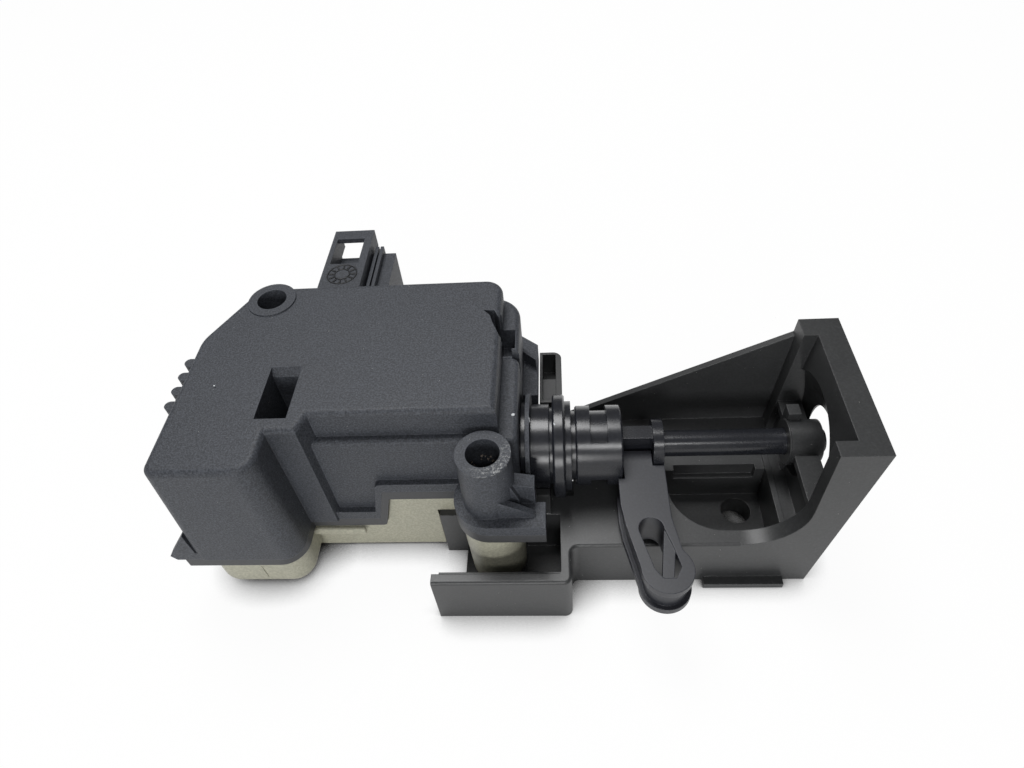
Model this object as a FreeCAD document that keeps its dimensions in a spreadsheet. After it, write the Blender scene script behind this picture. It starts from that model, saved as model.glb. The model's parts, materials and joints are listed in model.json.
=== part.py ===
import FreeCAD, Part
import math
import os
import re
import Sketcher

# Fuel flap lock: a motor driven bolt with its casing, bolt, release arm and screw-on bracket.
# Millimetres, +Z up. The origin is on the ground, on the axis of the front screw.
# X runs along the bolt, positive where it comes out. Y runs from the front to the connector side.

# Driving sizes: name, value in millimetres (or a count), what it is
SIZES = [
    ("bore_r", 3.3, "clearance bore of the three fixing screws, radius"),
    ("boss_r", 5.4, "outer radius of the front screw boss"),
    ("boss_top", 42.0, "height of the front boss"),
    ("seat_z", 2.0, "thickness of the bracket pad under the front boss"),
    ("cone_top_r", 6.6, "radius of the pale boss at the parting line"),
    ("cone_foot_r", 6.1, "radius of the pale boss at its foot"),
    ("rear_x", -49.8, "place of the rear screw"),
    ("rear_y", 40.7, "place of the rear screw"),
    ("rear_ring", 0.4, "height of the ring round the rear bore"),
    ("corner_r", 6.0, "radius of the casing corner round the rear screw"),
    ("wall", 1.8, "wall of both casing shells"),
    ("floor_t", 2.0, "floor of the lower shell"),
    ("top_z", 46.5, "height of the casing's top face"),
    ("tier_drop", 6.8, "depth of the casing's step below the top face"),
    ("bulge_drop", 5.3, "depth of the rounded rear corner below the top face"),
    ("valley_drop", 11.0, "depth of the pocket in the rounded rear corner"),
    ("left_top", -62.5, "left face at the top"),
    ("left_low", -65.2, "left face at the low parting line"),
    ("block_front", -6.7, "front face of the motor block"),
    ("block_right", -41.4, "right face of the motor block"),
    ("lip_front", 2.5, "front edge of the top beside the motor block"),
    ("lip_right", -35.4, "right end of that edge"),
    ("top_left", -34.0, "left end of the long front edge"),
    ("top_front", 6.6, "front edge of the top face"),
    ("top_right", 2.6, "right edge of the top face"),
    ("tier_front", 4.6, "front face below the step"),
    ("tier_right", 6.2, "right face below the step"),
    ("tier_back", 27.5, "rear end of the step on the right"),
    ("back_y", 45.5, "rear face of the casing"),
    ("chamfer_y", 29.0, "start of the slanting rear left corner"),
    ("slant", 2.0, "slope of the slanting rear left face in plan"),
    ("split_low", 14.2, "parting line round the motor"),
    ("axis_z", 24.5, "height of the bolt's axis, and of the parting line beside it"),
    ("axis_y", 14.6, "place of the bolt's axis"),
    ("split_x", -25.9, "where the parting line starts to step up"),
    ("lean", 2.5, "how far the upright step leans to the right"),
    ("flange_out", 1.4, "overhang of the parting flange"),
    ("flange_t", 2.7, "thickness of the parting flange"),
    ("seal_t", 2.7, "thickness of the seal between the shells"),
    ("riser_t", 1.0, "width of the flange's upright step"),
    ("lug_right", 11.3, "right end of the lug beside the boss"),
    ("boss_flange_r", 7.4, "radius of the flange round the boss"),
    ("edge_r", 1.4, "rounding of the top edges"),
    ("block_r", 4.2, "rounding of the motor block's right corner"),
    ("flange_r", 5.6, "rounding of the parting flange below that corner"),
    ("block_left_r", 2.4, "rounding of the motor block's left corner"),
    ("slant_r", 8.0, "rounding where the slanting corner starts"),
    ("rear_r", 4.0, "rounding of the top's rear right corner"),
    ("bulge_left", -3.0, "hidden left end of the low rear right corner"),
    ("bulge_r", 6.6, "rounding of the low rear right corner"),
    ("step_r", 1.0, "rounding of the step's edges and of the flange's bend"),
    ("tier_r", 2.2, "rounding of the step's rear corner"),
    ("ear_out", 5.0, "reach of the ear beside the motor block"),
    ("ear_top", 24.0, "height of that ear"),
    ("ear_t", 2.0, "thickness of that ear"),
    ("deep_right", -13.0, "right end of the lower shell's deep part"),
    ("shallow_z", 15.3, "underside of the lower shell's shallow part"),
    ("foot_r", 1.6, "rounding of the lower shell's bottom edge"),
    ("hump_foot_r", 4.6, "rounding of that edge below the motor"),
    ("room_r", 2.4, "rounding inside the lower shell below the motor"),
    ("hump_r", 5.0, "rounding of the lower shell's front corners"),
    ("inset", 0.9, "step back of the lower shell behind the flange"),
    ("slot_left", -44.3, "pocket in the top"),
    ("slot_right", -37.9, "pocket in the top"),
    ("slot_front", 5.9, "pocket in the top"),
    ("slot_back", 18.4, "pocket in the top"),
    ("slot_floor", 32.9, "floor of the pocket in the top"),
    ("slot_wall", 1.3, "wall of the pocket in the top"),
    ("rib_first", 11.1, "first of the small ribs on the left edge"),
    ("rib_pitch", 4.0, "spacing of those ribs"),
    ("rib_w", 2.2, "width of one rib"),
    ("rib_out", 2.3, "how far the ribs stand out"),
    ("nose_r", 9.2, "nose sleeve, body radius"),
    ("nose_collar_r", 11.2, "nose sleeve, large collar radius"),
    ("nose_tip_r", 9.7, "nose sleeve, end ring radius"),
    ("nose_inner_x", 3.6, "inner end of the nose sleeve"),
    ("nose_ring_x", 5.6, "first ring of the nose sleeve"),
    ("washer_x", 7.3, "lock washer on the nose sleeve"),
    ("washer_t", 1.0, "thickness of the lock washer"),
    ("washer_r", 11.7, "radius of the lock washer"),
    ("collar_x", 12.9, "near face of the large collar"),
    ("collar_t", 2.6, "thickness of the large collar"),
    ("nose_end_x", 16.8, "outer end of the nose sleeve"),
    ("spindle_r", 7.45, "radius of the sliding spindle"),
    ("run_gap", 0.08, "running clearance, radial"),
    ("free_gap", 0.3, "clearance between pieces that pass each other"),
    ("pin_hold_r", 3.3, "radius of the posts that hold the wheel's axle"),
    ("stop_tall", 2.2, "height of the end stop on the spindle"),
    ("stop_half", 5.0, "half width of the end stop"),
    ("buffer_t", 2.2, "thickness of the end buffer"),
    ("spindle_left", -30.0, "inner end of the spindle"),
    ("cup_x", 17.7, "near end of the bolt's cup"),
    ("cup_end", 27.4, "far end of the bolt's cup"),
    ("cup_r", 8.6, "radius of the bolt's cup"),
    ("cup_end_t", 0.8, "end wall of the cup"),
    ("window_x", 20.8, "near side of the cup's windows"),
    ("window_w", 3.5, "width of the cup's windows"),
    ("neck_w", 3.4, "width of the neck"),
    ("neck_tall", 8.4, "height of the neck"),
    ("neck_groove", 0.7, "depth of the side grooves of the neck"),
    ("disc_x", 34.0, "near face of the disc"),
    ("disc_t", 2.2, "thickness of the disc"),
    ("disc_r", 5.4, "radius of the disc"),
    ("rod_r", 2.8, "radius of the bolt's rod"),
    ("rod_tip", 67.6, "tip of the rod, drawn back"),
    ("stroke", 12.0, "travel of the bolt"),
    ("arm_left", 26.4, "release arm, left edge"),
    ("arm_right", 36.2, "release arm, right edge"),
    ("arm_tall", 8.4, "release arm, height"),
    ("arm_skin", 1.6, "release arm, top plate and bottom flange"),
    ("arm_back", 10.6, "release arm, shoulder"),
    ("eye_x", 34.2, "centre of the arm's round end"),
    ("eye_y", -14.8, "centre of the arm's round end"),
    ("eye_r", 5.0, "radius of the arm's round end"),
    ("slot_r", 2.5, "teardrop eye, radius of its round end"),
    ("plate_top", 15.3, "top of the bracket's plate"),
    ("plate_t", 2.2, "thickness of the bracket's plate and walls"),
    ("plate_left", -12.4, "left end of the bracket"),
    ("plate_front", -4.8, "front face of the bracket"),
    ("plate_back", 30.3, "rear face of the bracket"),
    ("bay_front", 3.0, "front of the plate beside the boss"),
    ("jog_front", -13.1, "front face of the wall before the boss"),
    ("jog_right", 16.2, "right end of the wall before the boss"),
    ("bend_r", 1.6, "outer rounding of the bracket's upright corners"),
    ("brim_r", 0.7, "rounding of the bracket's upper front edge"),
    ("box_left", 9.8, "left side of the box at the bracket's rear"),
    ("box_right", 15.1, "right side of that box"),
    ("box_back", 45.8, "rear side of that box"),
    ("box_top", 22.0, "height of that box"),
    ("box_rim", 1.4, "wall of that box"),
    ("box_ledge", 37.8, "rear end of the closed part of that box"),
    ("end_top", 45.3, "height of the bracket's end wall"),
    ("end_foot_x", 67.0, "outer face of the end wall at the ground"),
    ("end_top_x", 72.1, "outer face of the end wall at its top"),
    ("end_t", 5.1, "thickness of the end wall"),
    ("end_left", 64.1, "left end of the tall frame"),
    ("end_front_t", 3.4, "front wall of the tall frame"),
    ("end_back_t", 5.0, "rear wall of the tall frame"),
    ("web_t", 1.4, "thickness of the rear web"),
    ("scoop_x", 50.9, "start of the front wall's curve"),
    ("scoop_r", 11.5, "radius of the front wall's curve"),
    ("end_hole_r", 7.5, "hole in the end wall round the guide"),
    ("guide_r", 4.6, "outer radius of the guide hub"),
    ("guide_x", 62.4, "near end of the guide hub"),
    ("guide_len", 7.0, "length of the guide hub"),
    ("flare_r", 15.2, "width of that hole on the wall's inner side"),
    ("flare_x", 66.5, "where the hole starts to narrow"),
    ("bush_wall", 1.2, "wall of the guide bush"),
    ("pan_left", 37.7, "left side of the screw recess"),
    ("pan_right", 59.6, "right side of the screw recess"),
    ("pan_back", 15.4, "rear side of the screw recess"),
    ("pan_r", 11.0, "front corner radius of the screw recess"),
    ("pan_floor", 5.5, "floor of the screw recess"),
    ("pan_step", 12.0, "ledge at the rear of the screw recess"),
    ("pad_x", 54.0, "place of the bracket screw"),
    ("pad_y", 9.4, "place of the bracket screw"),
    ("pad_r", 7.0, "radius of the pad round the bracket screw"),
    ("plug_left", -41.4, "left side of the connector"),
    ("plug_right", -26.1, "right side of the connector"),
    ("plug_low", 27.3, "underside of the connector"),
    ("plug_high", 40.2, "top of the connector's socket"),
    ("plug_end", 65.0, "mouth of the connector"),
    ("latch_right", -31.4, "right side of the latch frame"),
    ("latch_top", 44.5, "top of the latch frame"),
    ("latch_end", 69.3, "end of the latch frame"),
    ("motor_x", -52.9, "axis of the motor and worm"),
    ("motor_z", 13.2, "axis of the motor and worm"),
    ("motor_w", 15.4, "motor across its flats"),
    ("motor_tall", 20.1, "motor across its round sides"),
    ("motor_front", -1.6, "front of the motor can"),
    ("motor_back", 18.0, "rear of the motor can"),
    ("shaft_r", 1.0, "motor shaft, radius"),
    ("shaft_end", 34.4, "rear end of the motor shaft"),
    ("worm_len", 11.2, "length of the worm"),
    ("worm_root", 2.0, "core radius of the worm"),
    ("worm_tip", 3.35, "outer radius of the worm"),
    ("worm_pitch_r", 2.8, "pitch radius of the worm"),
    ("wheel_module", 0.8, "module of the worm wheel"),
    ("wheel_teeth", 22, "teeth of the worm wheel"),
    ("wheel_y", 28.4, "place of the wheel's axle"),
    ("wheel_t", 6.0, "thickness of the worm wheel"),
    ("pinion_module", 1.0, "module of pinion and rack"),
    ("pinion_teeth", 14, "teeth of the pinion"),
    ("rack_low", 25.0, "underside of the rack"),
    ("rack_t", 4.6, "height of the rack"),
    ("rack_teeth", 8, "teeth of the rack"),
    ("tooth_gap", 0.3, "play between teeth"),
    ("axle_r", 1.5, "radius of the wheel's axle"),
    ("pin_gap", 0.05, "clearance of the wheel on its axle"),
]

doc = FreeCAD.newDocument("fuel_flap_lock")
sheet = doc.addObject("Spreadsheet::Sheet", "Sizes")
for row, (alias, value, meaning) in enumerate(SIZES, start=1):
    sheet.set("A%d" % row, str(value))
    sheet.setAlias("A%d" % row, alias)
    sheet.set("B%d" % row, meaning)
doc.recompute()
ALIASES = {alias for alias, value, meaning in SIZES}
Vector = FreeCAD.Vector
Rotation = FreeCAD.Rotation
TURN = {"x": Rotation(Vector(0, 1, 0), 90), "y": Rotation(Vector(1, 0, 0), -90), "z": Rotation()}
SKETCH_TURN = {"x": Rotation(Vector(1, 1, 1), 120), "y": Rotation(Vector(1, 0, 0), 90), "z": Rotation()}
ALONG = {"x": Vector(1, 0, 0), "y": Vector(0, 1, 0), "z": Vector(0, 0, 1)}
ACROSS = {"x": "yz", "y": "xz", "z": "xy"}
PARTS = []


def size(alias):
    """The number that the sheet holds under this name."""
    return float(sheet.get(alias))


def bound(expression):
    """The expression with the sheet's name before each of its aliases."""
    def full(word):
        return "Sizes." + word[0] if word[0] in ALIASES else word[0]
    return re.sub(r"[a-z]\w*", full, str(expression))


def box(name, x, y, z):
    """A block between two expressions on each axis."""
    solid = doc.addObject("Part::Box", name)
    for axis, side, (low, high) in zip("xyz", ("Length", "Width", "Height"), (x, y, z)):
        solid.setExpression("Placement.Base." + axis, bound(low))
        solid.setExpression(side, bound("(%s) - (%s)" % (high, low)))
    return solid


def cylinder(name, radius, axis, span, centre):
    """A round bar along one axis; centre gives the other two coordinates in order."""
    solid = doc.addObject("Part::Cylinder", name)
    solid.Placement = FreeCAD.Placement(Vector(), TURN[axis])
    solid.setExpression("Placement.Base." + axis, bound(span[0]))
    for other, place in zip(ACROSS[axis], centre):
        solid.setExpression("Placement.Base." + other, bound(place))
    solid.setExpression("Radius", bound(radius))
    solid.setExpression("Height", bound("(%s) - (%s)" % (span[1], span[0])))
    return solid


def cone(name, low_r, high_r, span, centre):
    """A tapered round bar along Z."""
    solid = doc.addObject("Part::Cone", name)
    solid.setExpression("Placement.Base.z", bound(span[0]))
    for other, place in zip("xy", centre):
        solid.setExpression("Placement.Base." + other, bound(place))
    solid.setExpression("Radius1", bound(low_r))
    solid.setExpression("Radius2", bound(high_r))
    solid.setExpression("Height", bound("(%s) - (%s)" % (span[1], span[0])))
    return solid


def closed_outline(sketch, points):
    """Lines through the points, each held by its two distances from the origin."""
    count = len(points)
    start = [Vector(10 * math.cos(2 * math.pi * i / count), 10 * math.sin(2 * math.pi * i / count), 0)
             for i in range(count)]
    for i in range(count):
        sketch.addGeometry(Part.LineSegment(start[i], start[(i + 1) % count]))
    for i in range(count):
        sketch.addConstraint(Sketcher.Constraint("Coincident", i, 2, (i + 1) % count, 1))
    for i, (first, second) in enumerate(points):
        for kind, held, now in (("DistanceX", first, start[i].x), ("DistanceY", second, start[i].y)):
            number = sketch.addConstraint(Sketcher.Constraint(kind, -1, 1, i, 1, now))
            sketch.setExpression("Constraints[%d]" % number, bound(held))


def prism(name, axis, span, points):
    """A closed outline drawn across one axis and extruded along it."""
    sketch = doc.addObject("Sketcher::SketchObject", name + "_sketch")
    closed_outline(sketch, points)
    sketch.Placement = FreeCAD.Placement(Vector(), SKETCH_TURN[axis])
    sketch.setExpression("Placement.Base." + axis, bound(span[0]))
    solid = doc.addObject("Part::Extrusion", name)
    solid.Base = sketch
    solid.DirMode = "Custom"
    solid.Dir = ALONG[axis]
    solid.Solid = True
    solid.setExpression("LengthFwd", bound("(%s) - (%s)" % (span[1], span[0])))
    return solid


def fuse(name, solids):
    """All the solids as one."""
    whole = doc.addObject("Part::MultiFuse", name)
    whole.Shapes = solids
    return whole


def cut(name, base, tools):
    """The base less every tool."""
    tool = tools[0] if len(tools) == 1 else fuse(name + "_tools", tools)
    result = doc.addObject("Part::Cut", name)
    result.Base = base
    result.Tool = tool
    return result


def common(name, first, second):
    """What two solids share."""
    result = doc.addObject("Part::Common", name)
    result.Base = first
    result.Tool = second
    return result


def rounded(name, base, *picks):
    """The base with fillets: each pick is a radius and a test for its edges."""
    doc.recompute()
    edges = list(enumerate(base.Shape.Edges, start=1))
    result = doc.addObject("Part::Fillet", name)
    result.Base = base
    result.Edges = [(i, radius, radius) for radius, wanted in picks for i, edge in edges if wanted(edge)]
    return result


def near(edge, **place):
    """True where the edge's middle lies at the given coordinates."""
    middle = edge.valueAt((edge.FirstParameter + edge.LastParameter) / 2)
    return all(abs(getattr(middle, axis) - value) < 0.02 for axis, value in place.items())


def corner_at(x, y):
    """A test for the upright or slanting edge whose middle is at this place in plan."""
    def wanted(edge):
        heights = [vertex.Z for vertex in edge.Vertexes]
        return max(heights) - min(heights) > 1 and near(edge, x=x, y=y)
    return wanted


def level_at(z, **place):
    """A test for the edges at one height, and at the given coordinates too."""
    def wanted(edge):
        return all(abs(vertex.Z - z) < 0.01 for vertex in edge.Vertexes) and near(edge, z=z, **place)
    return wanted


def sub_part(label, solid):
    """Name a finished piece, for its file."""
    solid.Label = label
    PARTS.append(solid)
    return solid


def corner_end(reach):
    """Where the slanting face meets the rounding about the rear screw, this far from the screw."""
    return ("rear_x - (%s) * slant / sqrt(slant ^ 2 + 1)" % reach, "rear_y + (%s) / sqrt(slant ^ 2 + 1)" % reach)


def plan_top(grow):
    """The plan of the casing's top, grown outwards by an expression."""
    g = grow
    return [("left_low - 6 - (%s)" % g, "block_front - (%s)" % g),
            ("block_right + (%s)" % g, "block_front - (%s)" % g),
            ("block_right + (%s)" % g, "lip_front - (%s)" % g),
            ("lip_right + 0.4 * (%s)" % g, "lip_front - (%s)" % g),
            ("top_left + 0.6 * (%s)" % g, "top_front - (%s)" % g),
            ("top_right + (%s)" % g, "top_front - (%s)" % g),
            ("top_right + (%s)" % g, "back_y + (%s)" % g),
            ("rear_x", "back_y + (%s)" % g),
            corner_end("corner_r + (%s)" % g),
            ("left_top - (%s)" % g, "chamfer_y"),
            ("left_low - 6 - (%s)" % g, "chamfer_y - (left_top - left_low + 6) * slant")]


def plan_tier(back, grow="0"):
    """The plan of the casing below its step, as far as the given rear edge."""
    g = grow
    return [("block_right - 2", "tier_front - (%s)" % g), ("tier_right + (%s)" % g, "tier_front - (%s)" % g),
            ("tier_right + (%s)" % g, back), ("block_right - 2", back)]


def side_profile(low, high, left_out, low_z, high_z):
    """The casing seen from the front: slanting left face, stepped parting line."""
    return [("left_low - (%s)" % left_out, low_z), ("split_x", low_z), ("split_x + lean", high_z),
            ("lug_right + 2", high_z), ("lug_right + 2", high), ("left_top - (%s)" % left_out, high)]


def radius(module, teeth):
    """Pitch radius as an expression."""
    return "%s * %s / 2" % (module, teeth)


WHEEL_X = "motor_x + worm_pitch_r + %s" % radius("wheel_module", "wheel_teeth")
PITCH_Y = "wheel_y - %s" % radius("pinion_module", "pinion_teeth")
LEAD = "pi * wheel_module"
TIER_Z = "(top_z - tier_drop)"
BULGE_Z = "(top_z - bulge_drop)"
VALLEY_Z = "(top_z - valley_drop)"

# Upper shell
top_prism = prism("top_prism", "z", ("split_low", "top_z"), plan_top("0"))
top_slant = prism("top_slant", "y", ("block_front - 2", "back_y + 8"),
                  [("left_low", "split_low"), ("lug_right", "split_low"), ("lug_right", "top_z"),
                   ("left_top", "top_z")])
top_corner = cylinder("top_corner", "corner_r", "z", ("split_low", "top_z"), ("rear_x", "rear_y"))
top_mass = fuse("top_mass", [common("top_body", top_prism, top_slant), top_corner])
left_mid = (size("left_low") + size("left_top")) / 2
slant_mid = size("chamfer_y") - size("slant") * (size("left_top") - size("left_low")) / 2
top_soft = rounded("top_soft", top_mass,
                   (size("block_r"), corner_at(size("block_right"), size("block_front"))),
                   (size("block_left_r"), corner_at(left_mid, size("block_front"))),
                   (size("slant_r"), corner_at(left_mid, slant_mid)),
                   (size("rear_r"), corner_at(size("top_right"), size("back_y"))))
top_round = rounded("top_round", top_soft, (size("edge_r"), level_at(size("top_z"))))

tier_prism = prism("tier_prism", "z", ("split_low", TIER_Z), plan_tier("tier_back"))
tier_soft = rounded("tier_soft", tier_prism,
                    (size("step_r"), corner_at(size("tier_right"), size("tier_front"))),
                    (size("tier_r"), corner_at(size("tier_right"), size("tier_back"))))
tier_level = size("top_z") - size("tier_drop")
tier_round = rounded("tier_round", tier_soft,
                     (size("step_r"), lambda edge: level_at(tier_level)(edge) and not near(
                         edge, x=size("block_right") - 2)))
bulge_prism = prism("bulge_prism", "z", ("split_low", BULGE_Z),
                    [("bulge_left", "tier_back - 3"), ("tier_right", "tier_back - 3"), ("tier_right", "back_y"),
                     ("bulge_left", "back_y")])
bulge_base = prism("bulge_base", "z", (VALLEY_Z, BULGE_Z),
                   [("bulge_left - 1", "tier_back - 4"), ("tier_right + 1", "tier_back - 4"),
                    ("tier_right + 1", "tier_back"), ("bulge_left - 1", "tier_back")])
bulge_body = cut("bulge_body", bulge_prism, [bulge_base])
bulge_soft = rounded("bulge_soft", bulge_body, (size("bulge_r"), corner_at(size("tier_right"), size("back_y"))))
bulge_level = size("top_z") - size("bulge_drop")
bulge_round = rounded("bulge_round", bulge_soft,
                      (1.3 * size("step_r"), lambda edge: level_at(bulge_level)(edge) and not near(
                          edge, x=size("bulge_left"))))
back_strip = box("back_strip", ("block_right - 2", "1"), ("tier_back - 1", "back_y"), ("split_low", TIER_Z))
upper_block = fuse("upper_block", [top_round, tier_round, bulge_round, back_strip])
upper_profile = prism("upper_profile", "y", ("block_front - 2", "back_y + 8"),
                      side_profile("split_low", "top_z", "0", "split_low", "axis_z"))
upper_outer = common("upper_outer", upper_block, upper_profile)

low_flange = prism("low_flange", "z", ("split_low", "split_low + flange_t"),
                   [("left_low - 1.6 * flange_out", "block_front + 0.2"),
                    ("block_right", "block_front + 0.2"), ("block_right", "tier_front - flange_out"),
                    ("split_x", "tier_front - flange_out"), ("split_x", "back_y + flange_out"),
                    ("rear_x", "back_y + flange_out"), corner_end("corner_r + flange_out"),
                    ("left_low - 1.6 * flange_out", "chamfer_y - 5")])
low_flange_round = rounded("low_flange_round", low_flange,
                           (size("flange_r"), corner_at(size("block_right"), size("block_front") + 0.2)))
HIGH_PLAN = [("split_x + lean", "tier_front - flange_out"), ("0", "tier_front - flange_out"),
             ("0", "-boss_flange_r"), ("lug_right", "-boss_flange_r"), ("lug_right", "-boss_flange_r / 5"),
             ("tier_right + 2 * flange_out", "-boss_flange_r / 5"),
             ("tier_right + 2 * flange_out", "axis_y - washer_r - free_gap"),
             ("tier_right", "axis_y - washer_r - free_gap"), ("tier_right", "axis_y + washer_r + 0.8"),
             ("tier_right + 2.4 * flange_out", "axis_y + washer_r + 0.8"),
             ("tier_right + 2.4 * flange_out", "back_y - 2.2"), ("tier_right - 0.8", "back_y + 0.9 * flange_out"),
             ("-8", "back_y + flange_out"), ("split_x + lean", "back_y + flange_out")]
high_flange = prism("high_flange", "z", ("axis_z", "axis_z + flange_t"), HIGH_PLAN)
boss_flange = cylinder("boss_flange", "boss_flange_r", "z", ("axis_z", "axis_z + flange_t"), ("0", "0"))
riser = prism("riser", "y", ("tier_front - flange_out", "back_y + flange_out"),
              [("split_x - riser_t", "split_low"), ("split_x", "split_low"), ("split_x + lean", "axis_z"),
               ("split_x + lean", "axis_z + flange_t"), ("split_x + lean - riser_t", "axis_z + flange_t")])
riser_top_x = size("split_x") + size("lean") - size("riser_t")
flange_round = rounded("flange_round", fuse("flange_mass", [low_flange_round, high_flange, riser]),
                       (1.5 * size("step_r"), level_at(size("axis_z") + size("flange_t"), x=riser_top_x)))
boss_tube = cylinder("boss_tube", "boss_r", "z", ("axis_z", "boss_top"), ("0", "0"))
boss_web = prism("boss_web", "y", ("-boss_r / 2", "tier_front + 1"),
                 [("boss_r - 1.4", "axis_z"), ("tier_right", "axis_z"), ("tier_right", "axis_z + 5.5"),
                  ("boss_r - 1.4", "axis_z + 12")])
rear_flange = cylinder("rear_flange", "corner_r + flange_out", "z", ("split_low", "split_low + flange_t"),
                       ("rear_x", "rear_y"))
rear_ring = cylinder("rear_ring_top", "boss_r", "z", ("split_low", "top_z + rear_ring"), ("rear_x", "rear_y"))
lug_web = prism("lug_web", "y", ("-5", "-3.6"),
                [("boss_r - 3.2", "axis_z"), ("lug_right - 2", "axis_z"), ("lug_right - 2", "axis_z + flange_t + 0.4"),
                 ("boss_r + 0.8", "axis_z + 5.5"), ("boss_r - 3.2", "axis_z + 8")])
lug_block = prism("lug_block", "y", ("-1.6", "1.4"),
                  [("boss_r - 2", "axis_z"), ("lug_right - 2", "axis_z"), ("lug_right - 2", "axis_z + 8"),
                   ("boss_r - 2", "axis_z + 9.4")])
fin_rib = prism("fin_rib", "z", ("axis_z", "axis_z + flange_t + 3"),
                [("tier_right - 1", "back_y - 5.2"), ("tier_right + 2.2 * flange_out", "back_y - 9.1"),
                 ("tier_right + 2.2 * flange_out", "back_y - 10.2"), ("tier_right - 1", "back_y - 6.4")])
ear = prism("ear", "y", ("block_front + 0.2", "block_front + 0.2 + ear_t"),
            [("left_low + 1", "ear_top"), ("left_low - ear_out", "split_low + 1.6"),
             ("left_low - ear_out + 1", "split_low"), ("left_low + 1", "split_low")])
edge_ribs = []
for i in range(4):
    rib_y = "rib_first + %d * rib_pitch" % i
    edge_ribs += [box("edge_rib_%d" % i, ("left_top - rib_out + rib_w / 2", "left_top + 1.5"),
                      (rib_y + " - rib_w / 2", rib_y + " + rib_w / 2"), ("top_z - 5", "top_z - edge_r")),
                  cylinder("edge_rib_tip_%d" % i, "rib_w / 2", "z", ("top_z - 5", "top_z - edge_r"),
                           ("left_top - rib_out + rib_w / 2", rib_y))]
upper_solid = fuse("upper_solid", [upper_outer, flange_round, boss_flange, boss_tube, boss_web, lug_web,
                                   lug_block, fin_rib, ear, rear_ring, rear_flange] + edge_ribs)

upper_room_top = prism("upper_room_top", "z", ("split_low - 1", "top_z - wall"), plan_top("-wall"))
upper_room_tier = prism("upper_room_tier", "z", ("split_low - 1", TIER_Z + " - wall"),
                        plan_tier("tier_back - wall", "-wall"))
upper_room_back = prism("upper_room_back", "z", ("split_low - 1", VALLEY_Z + " - wall"),
                        plan_tier("back_y - wall", "-wall"))
upper_room_all = fuse("upper_room_all", [upper_room_top, upper_room_tier, upper_room_back])
upper_room_profile = prism("upper_room_profile", "y", ("block_front - 2", "back_y + 8"),
                           [("left_low + wall", "split_low - 1"), ("tier_right", "split_low - 1"),
                            ("tier_right", "top_z"), ("left_top + wall", "top_z")])
upper_room = common("upper_room", upper_room_all, upper_room_profile)
slot_block = box("slot_block", ("slot_left - slot_wall", "slot_right + slot_wall"),
                 ("slot_front - slot_wall", "slot_back + 2 * slot_wall"), ("slot_floor - slot_wall", "top_z"))
axle_post = cylinder("axle_post", "pin_hold_r", "z", ("rack_low + rack_t + free_gap", "top_z - 1"),
                     (WHEEL_X, "wheel_y"))
rear_column = cylinder("rear_column", "boss_r", "z", ("split_low - 2", "top_z"), ("rear_x", "rear_y"))
notch_block = box("notch_block", ("top_right - 3.9 - wall", "top_right"),
                  ("tier_back - wall", "tier_back + 7.6 + wall"), (TIER_Z + " - 1 - wall", "top_z"))
upper_hollow = cut("upper_hollow", upper_room, [slot_block, axle_post, rear_column, notch_block])

notch = prism("notch", "z", (TIER_Z + " - 1", "top_z + 2"),
              [("top_right + 2", "tier_back"), ("top_right - 0.3", "tier_back"), ("top_right - 1.8", "tier_back + 3.6"),
               ("top_right - 2.4", "tier_back + 5.8"), ("top_right - 3.9", "tier_back + 7.6"),
               ("top_right - 1.6", "tier_back + 7.4"), ("top_right - 0.9", "tier_back + 6"),
               ("top_right + 0.4", "tier_back + 4.6"), ("top_right + 2", "tier_back + 4.6")])
valley = box("valley", ("top_right - 0.4", "tier_right - 0.9"), ("tier_back + 0.9", "tier_back + 6.6"),
             (VALLEY_Z, "top_z + 1"))
front_bore = cylinder("front_bore", "bore_r", "z", ("-1", "boss_top + 2"), ("0", "0"))
rear_bore = cylinder("rear_bore", "bore_r", "z", ("-1", "top_z + 2"), ("rear_x", "rear_y"))
slot_pocket = box("slot_pocket", ("slot_left", "slot_right"), ("slot_front", "slot_back"),
                  ("slot_floor", "top_z + 2"))
slot_lip = prism("slot_lip", "x", ("slot_left", "slot_right"),
                 [("slot_back - 1", "top_z - 3"), ("slot_back", "top_z - 1.7"), ("slot_back + 1.4", "top_z + 0.1"),
                  ("slot_back - 1", "top_z + 0.1")])
nose_hole = cylinder("nose_hole", "nose_r - 0.6", "x", ("tier_right - wall - 2", "lug_right + 1"), ("axis_y", "axis_z"))
plug_hole = box("plug_hole", ("plug_left", "plug_right"), ("back_y - wall - 1", "back_y + 3"),
                ("plug_low", "plug_high"))
post_bore = cylinder("post_bore", "axle_r", "z", ("rack_low", "rack_low + rack_t + 8"), (WHEEL_X, "wheel_y"))
upper_shell = cut("upper_shell_solid", upper_solid,
                  [upper_hollow, notch, valley, front_bore, rear_bore, slot_pocket, slot_lip, nose_hole, plug_hole,
                   post_bore])
sub_part("upper_shell", upper_shell)

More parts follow.
